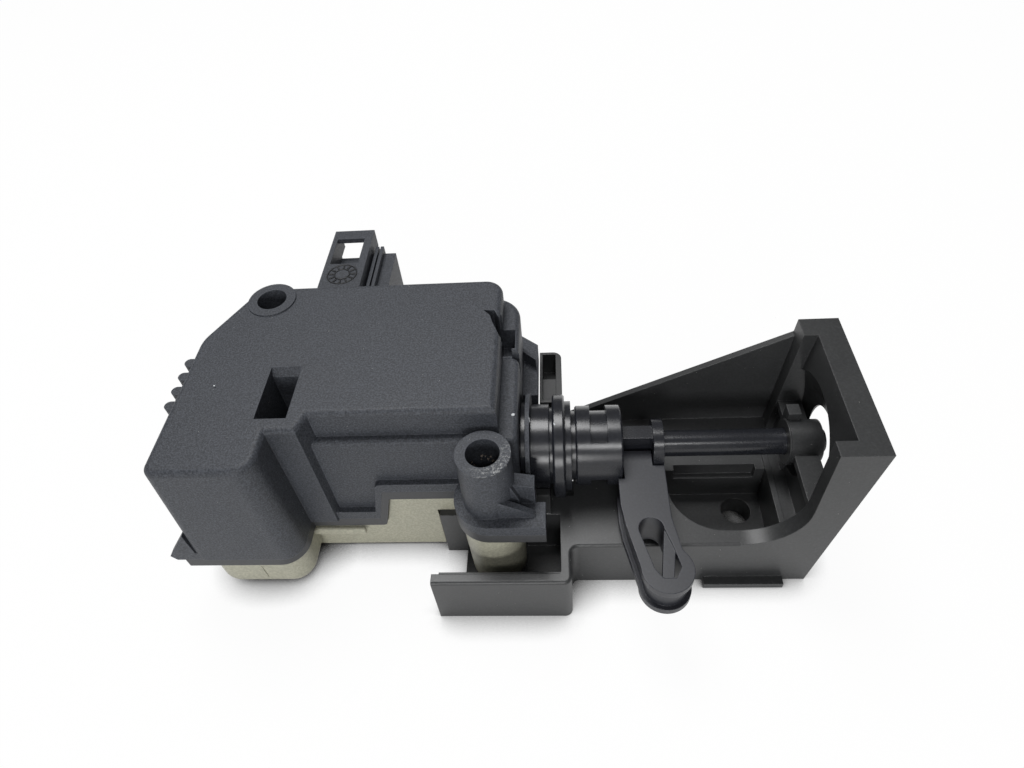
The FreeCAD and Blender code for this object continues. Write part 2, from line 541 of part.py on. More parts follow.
# Seal between the shells, in one stepped frame
seal_low = prism("seal_low", "z", ("split_low - seal_t", "split_low"),
                 [("left_low - 1.6 * flange_out", "block_front + 0.2"),
                  ("block_right", "block_front + 0.2"), ("block_right", "tier_front - flange_out"),
                  ("split_x + riser_t", "tier_front - flange_out"), ("split_x + riser_t", "back_y + flange_out"),
                  ("rear_x", "back_y + flange_out"), corner_end("corner_r + flange_out"),
                  ("left_low - 1.6 * flange_out", "chamfer_y - 5")])
seal_low_round = rounded("seal_low_round", seal_low,
                         (size("flange_r"), corner_at(size("block_right"), size("block_front") + 0.2)))
seal_riser = prism("seal_riser", "y", ("tier_front - flange_out", "back_y + flange_out"),
                   [("split_x", "split_low"), ("split_x", "split_low - seal_t"),
                    ("split_x + riser_t", "split_low - seal_t"), ("split_x + lean + riser_t", "axis_z - seal_t"),
                    ("split_x + lean + riser_t", "axis_z"), ("split_x + lean", "axis_z")])
seal_high = prism("seal_high", "z", ("axis_z - seal_t", "axis_z"),
                  HIGH_PLAN)
seal_boss = cylinder("seal_boss", "boss_flange_r", "z", ("axis_z - seal_t", "axis_z"), ("0", "0"))
seal_rear = cylinder("seal_rear", "corner_r + flange_out", "z", ("split_low - seal_t", "split_low"),
                     ("rear_x", "rear_y"))
seal_bend = rounded("seal_bend", fuse("seal_mass", [seal_low_round, seal_riser, seal_high]),
                    (size("step_r"), level_at(size("split_low") - size("seal_t"),
                                              x=size("split_x") + size("riser_t"))))
seal_all = fuse("seal_all", [seal_bend, seal_boss, seal_rear])
LOWER_ROOM = [("left_low + inset + wall", "block_front + inset + wall"),
              ("block_right - inset - wall", "block_front + inset + wall"),
              ("block_right - inset - wall", "tier_front + wall"),
              ("deep_right - wall", "tier_front + wall"), ("deep_right - wall", "back_y - wall"),
              ("rear_x", "back_y - wall"), corner_end("corner_r - wall"),
              ("left_low + inset + wall", "chamfer_y - 5.5")]
room_right = size("block_right") - size("inset") - size("wall")
room_front = size("block_front") + size("inset") + size("wall")
lower_column = cylinder("lower_column", "boss_r", "z", ("0", "axis_z"), ("rear_x", "rear_y"))
seal_room_low = rounded("seal_room_low",
                        prism("seal_room_block", "z", ("split_low - seal_t - 1", "split_low + 1"), LOWER_ROOM),
                        (size("room_r"), corner_at(room_right, room_front)))
seal_room_left = cut("seal_room_left", seal_room_low, [lower_column])
seal_room_main = box("seal_room_main", ("rear_x + boss_r + 1", "tier_right - wall"),
                     ("tier_front + wall", "back_y - wall"), ("split_low - 9", "axis_z + 9"))
seal = cut("seal_solid", seal_all, [seal_room_left, seal_room_main, front_bore, rear_bore, nose_hole])
sub_part("shell_seal", seal)

# Lower shell
lower_deep = prism("lower_deep", "z", ("0", "axis_z - seal_t"),
                   [("motor_x", "tier_front"), ("deep_right", "tier_front"), ("deep_right", "back_y"),
                    ("rear_x", "back_y"), ("rear_x", "rear_y"), ("motor_x", "rear_y")])
lower_round = rounded("lower_round", lower_deep, (size("foot_r"), level_at(0)))
lower_hump = prism("lower_hump", "z", ("0", "axis_z - seal_t"),
                   [("left_low + inset", "block_front + inset"), ("block_right - inset", "block_front + inset"),
                    ("block_right - inset", "back_y"), ("rear_x", "back_y"), corner_end("corner_r"),
                    ("left_low + inset", "chamfer_y - 5")])
hump_front = size("block_front") + size("inset")
hump_soft = rounded("hump_soft", lower_hump,
                    (size("hump_r"), corner_at(size("block_right") - size("inset"), hump_front)),
                    (size("hump_r"), corner_at(size("left_low") + size("inset"), hump_front)))
hump_round = rounded("hump_round", hump_soft,
                     (size("hump_foot_r"), lambda edge: level_at(0)(edge) and min(
                         vertex.Y for vertex in edge.Vertexes) < size("chamfer_y") - 6))
lower_shallow = box("lower_shallow", ("deep_right - 3", "tier_right"), ("tier_front", "back_y"),
                    ("shallow_z", "axis_z - seal_t"))
lower_cone = cone("lower_cone", "cone_foot_r", "cone_top_r", ("seat_z", "axis_z - seal_t"), ("0", "0"))
cone_web = box("cone_web", ("-cone_top_r / 2", "cone_top_r / 2"), ("0", "tier_front + 1"),
               ("shallow_z", "axis_z - seal_t"))
lower_step = prism("lower_step", "y", ("block_front - 9", "back_y + 9"),
                   [("left_low - 9", "split_low - seal_t"), ("split_x + riser_t", "split_low - seal_t"),
                    ("split_x + lean + riser_t", "axis_z - seal_t"), ("split_x + lean + riser_t", "axis_z + 9"),
                    ("left_low - 9", "axis_z + 9")])
lower_corner = cylinder("lower_corner", "boss_r", "z", ("0", "split_low - seal_t"), ("rear_x", "rear_y"))
lower_mass = fuse("lower_mass", [lower_round, hump_round, lower_shallow, lower_cone, cone_web, lower_corner])
lower_room_soft = rounded("lower_room_soft",
                          prism("lower_room_block", "z", ("floor_t", "axis_z + 1"), LOWER_ROOM),
                          (size("room_r"), corner_at(room_right, room_front)))
lower_room_round = rounded("lower_room_round", lower_room_soft,
                           (size("room_r"), lambda edge: level_at(size("floor_t"))(edge) and max(
                               vertex.Y for vertex in edge.Vertexes) < size("tier_front") + size("wall") + 0.1
                            and max(vertex.X for vertex in edge.Vertexes) < room_right + 0.1))
lower_room_right = box("lower_room_right", ("deep_right - wall - 1", "tier_right - wall"),
                       ("tier_front + wall", "back_y - wall"), ("shallow_z + wall", "axis_z + 1"))
lower_post = cylinder("lower_post", "pin_hold_r", "z", ("0", "motor_z - wheel_t / 2 - free_gap"),
                      (WHEEL_X, "wheel_y"))
cradle_back = box("cradle_back", ("motor_x - 3", "motor_x + 3"), ("shaft_end - 2", "shaft_end - 0.1"),
                  ("0", "motor_z - 2.2"))
cradles = [box("cradle_%d" % i, ("left_low", "block_right"), (y, "%s + wall" % y), ("0", "motor_z - 4"))
           for i, y in enumerate(("motor_front + 2", "motor_back - 2 - wall"))]
cradle_cup = cylinder("cradle_cup", "motor_tall / 2 + run_gap", "y", ("motor_front", "motor_back"),
                      ("motor_x", "motor_z"))
cradle_kept = cut("cradle_kept", fuse("cradle_pair", cradles), [cradle_cup])
trough = cylinder("trough", "spindle_r + free_gap", "x", ("deep_right - 9", "tier_right - wall"),
                  ("axis_y", "axis_z"))
lower_rooms = fuse("lower_rooms", [lower_room_round, lower_room_right, trough])
lower_hollow = cut("lower_hollow", lower_rooms, [lower_column, lower_post, cradle_back, cradle_kept])
lower_axle_bore = cylinder("lower_axle_bore", "axle_r", "z", ("1", "axis_z"), (WHEEL_X, "wheel_y"))
lower_shell = cut("lower_shell_solid", lower_mass,
                  [lower_step, lower_hollow, front_bore, rear_bore, nose_hole, lower_axle_bore])
sub_part("lower_shell", lower_shell)


def turned(name, axis_points, place, turn):
    """A PartDesign body revolved about its own Z axis: points are (radius, height) expressions."""
    body = doc.addObject("PartDesign::Body", name)
    plane = [f for f in body.Origin.OriginFeatures if f.Role == "XZ_Plane"][0]
    sketch = body.newObject("Sketcher::SketchObject", name + "_half")
    sketch.AttachmentSupport = [(plane, "")]
    sketch.MapMode = "FlatFace"
    closed_outline(sketch, axis_points)
    spin = body.newObject("PartDesign::Revolution", name + "_turned")
    spin.Profile = sketch
    spin.ReferenceAxis = (sketch, ["V_Axis"])
    spin.Angle = 360
    body.Placement = FreeCAD.Placement(Vector(), turn)
    for axis, held in zip("xyz", place):
        body.setExpression("Placement.Base." + axis, bound(held))
    return body


ALONG_X = Rotation(Vector(0, 1, 0), 90)
ALONG_Y = Rotation(Vector(1, 0, 0), -90)
UPRIGHT = Rotation()
ON_AXIS = ("0", "axis_y", "axis_z")

# Nose sleeve, its lock washer and its seals
nose = turned("nose_body", [("spindle_r + run_gap", "nose_inner_x"), ("nose_r - 0.65", "nose_inner_x"),
                            ("nose_r - 0.65", "tier_right + 0.1"), ("nose_r + 0.5", "tier_right + 0.1"),
                            ("nose_r + 0.5", "washer_x"), ("nose_r - 0.4", "washer_x"),
                            ("nose_r - 0.4", "washer_x + washer_t"), ("nose_r", "washer_x + washer_t"),
                            ("nose_r", "collar_x - 0.7"), ("nose_r - 0.8", "collar_x - 0.7"),
                            ("nose_r - 0.8", "collar_x"), ("nose_collar_r - 0.4", "collar_x"),
                            ("nose_collar_r", "collar_x + 0.4"), ("nose_collar_r", "collar_x + collar_t - 0.4"),
                            ("nose_collar_r - 0.4", "collar_x + collar_t"), ("nose_tip_r", "collar_x + collar_t"),
                            ("nose_tip_r", "nose_end_x"), ("spindle_r + 1.4", "nose_end_x"),
                            ("spindle_r + 1.4", "nose_end_x - 1.8"), ("spindle_r + run_gap", "nose_end_x - 1.8")],
              ON_AXIS, ALONG_X)
sub_part("nose_sleeve", nose)
washer = turned("washer_body", [("nose_r - 0.3", "washer_x + 0.05"), ("washer_r", "washer_x + 0.05"),
                                ("washer_r", "washer_x + washer_t - 0.05"),
                                ("nose_r - 0.3", "washer_x + washer_t - 0.05")], ON_AXIS, ALONG_X)
sub_part("lock_washer", washer)
lip_seal = turned("lip_seal_body", [("spindle_r + run_gap", "nose_end_x - 0.3"),
                                    ("spindle_r + run_gap", "nose_end_x - 0.9"),
                                    ("spindle_r + 0.5", "nose_end_x - 1.8"), ("spindle_r + 1.4", "nose_end_x - 1.8"),
                                    ("spindle_r + 1.4", "nose_end_x - 0.3")], ON_AXIS, ALONG_X)
sub_part("lip_seal", lip_seal)
buffer_ring = turned("buffer_body", [("spindle_r + free_gap", "nose_inner_x - buffer_t"),
                                     ("spindle_r + stop_tall + 0.3", "nose_inner_x - buffer_t"),
                                     ("spindle_r + stop_tall + 0.3", "nose_inner_x"),
                                     ("spindle_r + free_gap", "nose_inner_x")], ON_AXIS, ALONG_X)
buffer_block = box("buffer_block", ("nose_inner_x - buffer_t - 1", "nose_inner_x + 1"),
                   ("axis_y - stop_half - 0.5", "axis_y + stop_half + 0.5"), ("axis_z + 2", "axis_z + 2 * spindle_r"))
sub_part("end_buffer", common("buffer_solid", buffer_ring, buffer_block))

# Bolt: cup with windows, neck, disc and rod
cup = turned("cup_turned", [("0", "cup_end - cup_end_t"), ("spindle_r + 0.15", "cup_end - cup_end_t"),
                            ("spindle_r + 0.15", "cup_x"), ("cup_r - 0.3", "cup_x"), ("cup_r", "cup_x + 0.3"),
                            ("cup_r", "cup_end - 0.3"), ("cup_r - 0.3", "cup_end"), ("0", "cup_end")],
             ON_AXIS, ALONG_X)
window_bar = prism("window_bar", "x", ("window_x", "window_x + window_w"),
                   [("axis_y - 0.5 * cup_r", "axis_z + 0.6 * cup_r"), ("axis_y - 0.7 * cup_r", "axis_z + 1.3 * cup_r"),
                    ("axis_y + 1.3 * cup_r", "axis_z + 1.3 * cup_r"), ("axis_y + 1.3 * cup_r", "axis_z + 0.1 * cup_r"),
                    ("axis_y + 0.7 * cup_r", "axis_z + 0.1 * cup_r")])
window_low = prism("window_low", "x", ("window_x", "window_x + window_w"),
                   [("axis_y + 0.5 * cup_r", "axis_z - 0.6 * cup_r"), ("axis_y + 0.7 * cup_r", "axis_z - 1.3 * cup_r"),
                    ("axis_y - 1.3 * cup_r", "axis_z - 1.3 * cup_r"), ("axis_y - 1.3 * cup_r", "axis_z - 0.1 * cup_r"),
                    ("axis_y - 0.7 * cup_r", "axis_z - 0.1 * cup_r")])
cup_cut = cut("cup_cut", cup, [window_bar, window_low])
neck = box("neck", ("cup_end - 0.2", "disc_x + 0.2"), ("axis_y - neck_w / 2", "axis_y + neck_w / 2"),
           ("axis_z - neck_tall / 2", "axis_z + neck_tall / 2"))
neck_side = [box("neck_side_%d" % i, ("cup_end", "disc_x"), (low, high),
                 ("axis_z - neck_tall / 2 + 1.5", "axis_z + neck_tall / 2 - 1.5"))
             for i, (low, high) in enumerate((("axis_y - neck_w", "axis_y - neck_w / 2 + neck_groove"),
                                              ("axis_y + neck_w / 2 - neck_groove", "axis_y + neck_w")))]
neck_cut = cut("neck_cut", neck, neck_side)
disc = cylinder("disc", "disc_r", "x", ("disc_x", "disc_x + disc_t"), ("axis_y", "axis_z"))
rod = turned("rod_turned", [("0", "disc_x + disc_t - 0.2"), ("rod_r", "disc_x + disc_t - 0.2"),
                            ("rod_r", "rod_tip - 0.8"), ("rod_r - 0.8", "rod_tip"), ("0", "rod_tip")],
             ON_AXIS, ALONG_X)
bolt = fuse("bolt_solid", [cup_cut, neck_cut, disc, rod])
sub_part("bolt_rod", bolt)

# Release arm: a channel with a teardrop eye and a retaining tongue, clipped on the neck
ARM_TOP = "axis_z"
ARM_LOW = "axis_z - arm_tall"


def arm_plan(grow):
    """The arm seen from above, grown outwards by an expression."""
    g = grow
    return [("cup_end + free_gap", "arm_back"), ("cup_end + free_gap", "axis_y - cup_r - free_gap"),
            ("arm_left - (%s)" % g, "axis_y - cup_r - free_gap"), ("arm_left - (%s)" % g, "-0.5"),
            ("arm_left + 0.6 - (%s)" % g, "-5"), ("eye_x - 4.8 - (%s)" % g, "eye_y - 0.6"),
            ("eye_x - 3.8 - 0.7 * (%s)" % g, "eye_y - 3.3 - 0.7 * (%s)" % g), ("eye_x", "eye_y"),
            ("eye_x + eye_r + (%s)" % g, "eye_y + 0.2"), ("eye_x + 3.2 + (%s)" % g, "eye_y + 4.2"),
            ("arm_right + 0.6 + (%s)" % g, "eye_y + 7.6"), ("arm_right + (%s)" % g, "-3.7"),
            ("arm_right + (%s)" % g, "axis_y - disc_r - free_gap"),
            ("disc_x - free_gap", "axis_y - disc_r - free_gap"), ("disc_x - free_gap", "arm_back")]


def arm_layer(name, span, grow):
    """One level of the arm: its plan and its round end."""
    body = prism(name + "_plan", "z", span, arm_plan(grow))
    end = cylinder(name + "_end", "eye_r + (%s)" % grow, "z", span, ("eye_x", "eye_y"))
    return fuse(name, [body, end])


arm_top = arm_layer("arm_top_plate", ("axis_z - arm_skin", ARM_TOP), "0")
arm_core = arm_layer("arm_core", (ARM_LOW, ARM_TOP), "-0.8")
arm_foot = arm_layer("arm_foot", (ARM_LOW, "axis_z - arm_tall + arm_skin"), "0.1")
arm_clip = prism("arm_clip", "x", ("cup_end + 0.2", "disc_x - 0.2"),
                 [("arm_back - 2", ARM_LOW), ("axis_y + neck_w / 2 + 2", ARM_LOW),
                  ("axis_y + neck_w / 2 + 2", "axis_z - 0.6"), ("axis_y + neck_w / 2 + 0.1", "axis_z - 0.6"),
                  ("axis_y + neck_w / 2 + 0.1", "axis_z - neck_tall / 2 - 0.1"),
                  ("axis_y - neck_w / 2 - 0.1", "axis_z - neck_tall / 2 - 0.1"),
                  ("axis_y - neck_w / 2 - 0.1", ARM_TOP), ("arm_back - 2", ARM_TOP)])
arm_mass = fuse("arm_mass", [arm_top, arm_core, arm_foot, arm_clip])
eye_round = cylinder("eye_round", "slot_r", "z", (ARM_LOW + " - 1", "axis_z + 1"), ("eye_x - 2.2", "eye_y + 8.6"))
eye_slot = prism("eye_slot", "z", (ARM_LOW + " - 1", "axis_z + 1"),
                 [("eye_x - 4.6", "eye_y + 7.9"), ("eye_x - 2.4", "eye_y"), ("eye_x - 1", "eye_y - 1.9"),
                  ("eye_x + 1.4", "eye_y - 1.9"), ("eye_x + 2.6", "eye_y + 0.4"), ("eye_x + 1.6", "eye_y + 4.6"),
                  ("eye_x + 0.2", "eye_y + 8.9")])
arm_cut = cut("arm_cut", arm_mass, [eye_round, eye_slot])
tongue_lean = prism("tongue_lean", "z", (ARM_LOW, "axis_z"),
                    [("eye_x - 1.3", "eye_y - 2.2"), ("eye_x + 0.9", "eye_y - 2.2"),
                     ("eye_x + 2.6", "eye_y + 8.3"), ("eye_x + 0.2", "eye_y + 8.3")])
tongue_block = box("tongue_block", ("eye_x - 2", "eye_x + 3"), ("eye_y - 2.2", "eye_y + 8.4"),
                   ("axis_z - 2.4", "axis_z - 0.3"))
tongue_bar = common("tongue_bar", tongue_lean, tongue_block)
arm = fuse("arm_solid", [arm_cut, tongue_bar])
sub_part("release_arm", arm)

# Bracket
front_plate = prism("front_plate", "z", ("plate_top - plate_t", "plate_top"),
                    [("plate_left", "bay_front"), ("jog_right - plate_t", "bay_front"),
                     ("jog_right - plate_t", "plate_front"), ("end_left + 2", "plate_front"),
                     ("end_left + 2", "plate_back"), ("plate_left", "plate_back")])
skirt = prism("skirt", "z", ("0", "plate_top"),
              [("plate_left - 0.4", "jog_front"), ("jog_right", "jog_front"), ("jog_right", "plate_front"),
               ("end_left + 2", "plate_front"), ("end_left + 2", "plate_front + plate_t"),
               ("jog_right - plate_t", "plate_front + plate_t"), ("jog_right - plate_t", "jog_front + plate_t"),
               ("plate_left - 0.4", "jog_front + plate_t")])
skirt_soft = rounded("skirt_soft", skirt,
                     (size("bend_r"), corner_at(size("jog_right"), size("jog_front"))),
                     (size("bend_r"), corner_at(size("jog_right"), size("plate_front"))),
                     (size("bend_r") / 2, corner_at(size("jog_right") - size("plate_t"),
                                                    size("jog_front") + size("plate_t"))))
skirt_plate = fuse("skirt_plate", [skirt_soft, front_plate])


def brim_edge(edge):
    """The upper outer edges of the bracket's front, round the jog."""
    middle = edge.valueAt((edge.FirstParameter + edge.LastParameter) / 2)
    outside = middle.y < size("jog_front") + 0.02 or middle.y < size("plate_front") + size("bend_r") and (
        abs(middle.y - size("plate_front")) < 0.02 or middle.x > size("jog_right") - size("bend_r") / 2)
    return level_at(size("plate_top"))(edge) and outside and middle.x > size("plate_left")


skirt_round = rounded("skirt_round", skirt_plate, (size("brim_r"), brim_edge))
walls = [box("skirt_bay", ("plate_left", "jog_right - plate_t + 0.2"), ("bay_front", "bay_front + plate_t"),
             ("0", "plate_top")),
         box("skirt_left", ("plate_left", "plate_left + plate_t"), ("bay_front", "plate_back"), ("0", "plate_top")),
         box("skirt_cheek", ("jog_right - plate_t", "jog_right"), ("plate_front", "bay_front + plate_t"),
             ("0", "plate_top")),
         box("skirt_front", ("end_left", "end_foot_x"), ("plate_front", "plate_front + plate_t"),
             ("0", "plate_top")),
         box("skirt_back", ("plate_left", "end_foot_x"), ("plate_back - plate_t", "plate_back"),
             ("0", "plate_top"))]
jog_ledge = box("jog_ledge", ("plate_left + 1", "jog_right - plate_t + 0.1"),
                ("jog_front + plate_t - 0.2", "jog_front + plate_t + 0.8"), ("0", "plate_top - 0.8"))
bay_floor = prism("bay_floor", "z", ("0", "seat_z"),
                  [("-cone_top_r - 1", "jog_front + 1"), ("jog_right - 1", "jog_front + 1"),
                   ("jog_right - 1", "bay_front + 1"), ("-cone_top_r - 1", "bay_front + 1")])
rear_box = rounded("rear_box", box("rear_box_block", ("box_left", "box_right"), ("plate_back - 1", "box_back"),
                                   ("plate_top - plate_t", "box_top")),
                   (1.5 * size("box_rim"), corner_at(size("box_right"), size("box_back"))))
box_pocket = box("box_pocket", ("box_left + box_rim / 2", "box_right - box_rim"),
                 ("box_ledge", "box_back - box_rim / 2"), ("plate_top", "box_top + 1"))
box_step = box("box_step", ("box_left + box_rim / 2", "box_right - box_rim"), ("plate_back", "box_ledge + 1"),
               ("box_top - 1.2", "box_top + 1"))
rear_box_open = cut("rear_box_open", rear_box, [box_pocket, box_step])
cone_cheek = common("cone_cheek", cylinder("cone_cheek_round", "cone_top_r + free_gap + plate_t", "z",
                                           ("0", "plate_top"), ("0", "0")),
                    box("cone_cheek_block", ("-2 * cone_top_r", "2 * cone_top_r"), ("bay_front", "3 * cone_top_r"),
                        ("0", "plate_top")))
saddle = prism("saddle", "x", ("washer_x + washer_t + 0.6", "collar_x - 0.9"),
               [("axis_y - nose_collar_r - 0.4", "plate_top - 1"), ("axis_y + nose_collar_r + 0.4", "plate_top - 1"),
                ("axis_y + nose_collar_r - 1", "axis_z - 4"), ("axis_y - nose_collar_r + 1", "axis_z - 4")])
saddle_cut = cylinder("saddle_cut", "nose_r + 0.1", "x", ("washer_x", "collar_x"), ("axis_y", "axis_z"))
saddle_cup = cut("saddle_cup", saddle, [saddle_cut])

end_outer = prism("end_outer", "y", ("plate_front", "plate_back - 0.2"),
                  [("end_left - 3", "0"), ("end_foot_x", "0"), ("end_top_x", "end_top"), ("end_left", "end_top")])
end_room = prism("end_room", "y", ("plate_front + end_front_t", "plate_back - end_back_t"),
                 [("end_left - 4", "plate_top"), ("end_foot_x - end_t + plate_top / 9", "plate_top"),
                  ("end_top_x - end_t", "end_top + 1"), ("end_left - 4", "end_top + 1")])
end_under = prism("end_under", "y", ("plate_front + plate_t", "plate_back - plate_t"),
                  [("end_left - 4", "-1"), ("end_foot_x - plate_t", "-1"),
                   ("end_foot_x - plate_t + 1.2", "plate_top - plate_t"), ("end_left - 4", "plate_top - plate_t")])
rear_web = prism("rear_web", "y", ("plate_back - web_t", "plate_back"),
                 [("jog_right - 1", "plate_top - 1"), ("end_left + 1", "plate_top - 1"), ("end_left + 1", "end_top - 1"),
                  ("end_left", "end_top - 3.4"), ("jog_right - 1", "plate_top + 1.4")])
scoop_wall = prism("scoop_wall", "y", ("plate_front", "plate_front + end_front_t"),
                   [("scoop_x", "plate_top - 1"), ("end_left + 2", "plate_top - 1"), ("end_left + 2", "end_top"),
                    ("end_left - 1.2", "end_top"), ("end_left - 1.2", "plate_top + scoop_r"),
                    ("scoop_x", "plate_top + 0.01")])
scoop_cut = cylinder("scoop_cut", "scoop_r", "y", ("plate_front - 1", "plate_front + end_front_t + 1"),
                     ("end_left - 1.2 - scoop_r", "plate_top + scoop_r"))
scoop_above = prism("scoop_above", "y", ("plate_front - 1", "plate_front + end_front_t + 1"),
                    [("scoop_x - 1", "plate_top + 0.02"), ("end_left - 1.2 - scoop_r", "plate_top"),
                     ("end_left - 1.2", "plate_top + scoop_r"), ("end_left - 1.2", "end_top + 2"),
                     ("scoop_x - 1", "end_top + 2")])
scoop = cut("scoop", scoop_wall, [scoop_cut, scoop_above])
foot_strip = box("foot_strip", ("scoop_x - 6", "scoop_x + 11"), ("plate_front - 2", "plate_front + 1"), ("0", "1.6"))
pan_outer = prism("pan_outer", "z", ("seat_z", "plate_top - 0.5"),
                  [("pan_left - plate_t", "plate_front + 1"), ("pan_right + plate_t", "plate_front + 1"),
                   ("pan_right + plate_t", "pan_back + plate_t"), ("pan_left - plate_t", "pan_back + plate_t")])
pad = cylinder("pad", "pad_r", "z", ("0", "pan_floor"), ("pad_x", "pad_y"))
pan_room = prism("pan_room", "z", ("pan_floor", "plate_top + 1"),
                 [("pan_left", "plate_front + end_front_t"), ("pan_right", "plate_front + end_front_t"),
                  ("pan_right", "pan_back - 1.4"), ("pan_left", "pan_back - 1.4")])
doc.recompute()
pan_round = rounded("pan_round", pan_room,
                    (size("pan_r"), corner_at(size("pan_left"), size("plate_front") + size("end_front_t"))))
pan_ledge = box("pan_ledge", ("pan_left + 2", "pan_right - 2"), ("pan_back - 3", "pan_back"),
                ("pan_step", "plate_top + 1"))
pan_under = prism("pan_under", "z", ("-1", "pan_floor - plate_t"),
                  [("pan_left + 1", "plate_front + plate_t"), ("end_left - 4", "plate_front + plate_t"),
                   ("end_left - 4", "pan_back + 1"), ("pan_left + 1", "pan_back + 1")])
pan_under_cut = cut("pan_under_cut", pan_under, [cylinder("pad_keep", "pad_r", "z", ("-2", "axis_z"),
                                                          ("pad_x", "pad_y"))])
side_rib = box("side_rib", ("pan_right", "pan_right + 1.2"), ("plate_front + 1", "pan_back + 2"),
               ("plate_top - plate_t", "plate_top + 0.6"))
hub = cylinder("hub", "guide_r", "x", ("guide_x", "guide_x + guide_len - 0.6"), ("axis_y", "axis_z"))
hub_post = box("hub_post", ("guide_x", "guide_x + 2.6"), ("axis_y + guide_r - 2.2", "axis_y + guide_r + 0.6"),
               ("axis_z + 1", "axis_z + guide_r + 1.4"))
hub_webs = [box("hub_web_back", ("guide_x + 0.6", "guide_x + guide_len - 1.4"),
                ("axis_y + guide_r - 1", "plate_back - 1"), ("axis_z - 0.8", "axis_z + 0.8")),
            box("hub_web_low", ("guide_x + 0.6", "guide_x + guide_len - 1.4"), ("axis_y - 0.8", "axis_y + 0.8"),
                ("plate_top - 1", "axis_z - guide_r + 1")),
            box("hub_web_front", ("guide_x + 0.6", "guide_x + guide_len - 1.4"),
                ("plate_front + 1", "axis_y - guide_r + 1"), ("axis_z - 0.8", "axis_z + 0.8"))]
end_flare = turned("end_flare", [("0", "flare_x - 4"), ("flare_r", "flare_x - 4"), ("flare_r", "flare_x"),
                                 ("end_hole_r", "end_top_x - 2.6"), ("0", "end_top_x - 2.6")], ON_AXIS, ALONG_X)
end_hole = cylinder("end_hole", "end_hole_r", "x", ("end_left - 2", "end_top_x + 2"), ("axis_y", "axis_z"))
hub_bore = cylinder("hub_bore", "rod_r + run_gap + bush_wall", "x", ("guide_x - 1", "end_top_x + 2"),
                    ("axis_y", "axis_z"))
pad_bore = cylinder("pad_bore", "bore_r", "z", ("-1", "plate_top"), ("pad_x", "pad_y"))
end_frame = cut("end_frame", end_outer, [end_room, end_under])
flare_keep = box("flare_keep", ("flare_x - 5", "end_top_x"), ("plate_front + end_front_t", "plate_back - end_back_t"),
                 ("axis_z - 3", "end_top - 2"))
end_flare_kept = common("end_flare_kept", end_flare, flare_keep)
bracket_mass = fuse("bracket_mass", [skirt_round] + walls + [jog_ledge, bay_floor, rear_box_open, cone_cheek,
                                                             saddle_cup, end_frame, rear_web, scoop, foot_strip,
                                                             pan_outer])
reliefs = [cylinder("relief_%d" % i, "%s + free_gap" % r, "x", (low + " - free_gap", high + " + free_gap"),
                    ("axis_y", "axis_z"))
           for i, (r, low, high) in enumerate((("washer_r", "tier_right", "washer_x + washer_t"),
                                               ("nose_collar_r", "collar_x", "nose_end_x")))]
cone_room = cylinder("cone_room", "cone_top_r + free_gap", "z", ("seat_z", "plate_top + 1"), ("0", "0"))
bracket_open = cut("bracket_open", bracket_mass,
                   [pan_round, pan_ledge, pan_under_cut, end_hole, end_flare_kept, cone_room] + reliefs)
bracket_full = fuse("bracket_full", [bracket_open, pad, side_rib, hub, hub_post] + hub_webs)
bracket = cut("bracket_solid", bracket_full, [hub_bore, pad_bore, front_bore])
sub_part("bracket", bracket)
bush = turned("bush_body", [("rod_r + run_gap", "guide_x - 0.5"), ("rod_r + run_gap + bush_wall + 0.8", "guide_x - 0.5"),
                            ("rod_r + run_gap + bush_wall + 0.8", "guide_x - 0.05"),
                            ("rod_r + run_gap + bush_wall - 0.03", "guide_x - 0.05"),
                            ("rod_r + run_gap + bush_wall - 0.03", "guide_x + guide_len - 0.8"),
                            ("rod_r + run_gap", "guide_x + guide_len - 0.8")], ON_AXIS, ALONG_X)
sub_part("guide_bush", bush)

# Connector socket with its latch frame
plug_shroud = box("plug_shroud", ("plug_left", "plug_right"), ("back_y - wall - 0.4", "plug_end"),
                  ("plug_low", "plug_high"))
plug_flange = box("plug_flange", ("plug_left - 1.2", "plug_right + 1.2"), ("back_y - wall - 1.6", "back_y - wall - 0.2"),
                  ("plug_low - 1.2", "plug_high - 2.6"))
latch_block = box("latch_block", ("plug_left", "latch_right"), ("back_y + 0.1", "latch_end"),
                  ("plug_high - 0.5", "latch_top"))
latch_inner = box("latch_inner", ("plug_left + 1.2", "latch_right - 1.2"), ("back_y + 3", "latch_end + 1"),
                  ("plug_high - 1", "latch_top - 1.3"))
latch_window = box("latch_window", ("plug_left + 1.2", "latch_right - 1.9"), ("latch_end - 13.4", "latch_end - 3.4"),
                   ("plug_high", "latch_top + 1"))
code_ribs = [box("code_rib_%d" % i, ("latch_right + %g" % left, "latch_right + %g" % (left + 0.8)),
                 ("back_y + 0.1", "plug_end + 0.6"), ("plug_high - 0.5", "plug_high + 1.8"))
             for i, left in enumerate((0.5, 1.7))]
plug_room = box("plug_room", ("plug_left + 1.6", "plug_right - 1.6"), ("back_y + 3.5", "plug_end + 1"),
                ("plug_low + 1.6", "plug_high - 1.9"))
pin_slots = [box("pin_slot_%d" % i, ("plug_left + %g - 0.4" % x, "plug_left + %g + 0.4" % x),
                 ("back_y - wall - 2", "back_y + 4"), ("(plug_low + plug_high) / 2 - 1.1", "(plug_low + plug_high) / 2 + 1.1"))
             for i, x in enumerate((4.6, 11.6))]
plug_mass = fuse("plug_mass", [plug_shroud, plug_flange, latch_block] + code_ribs)
socket = cut("socket_solid", plug_mass, [plug_room, latch_inner, latch_window] + pin_slots)
sub_part("connector_socket", socket)
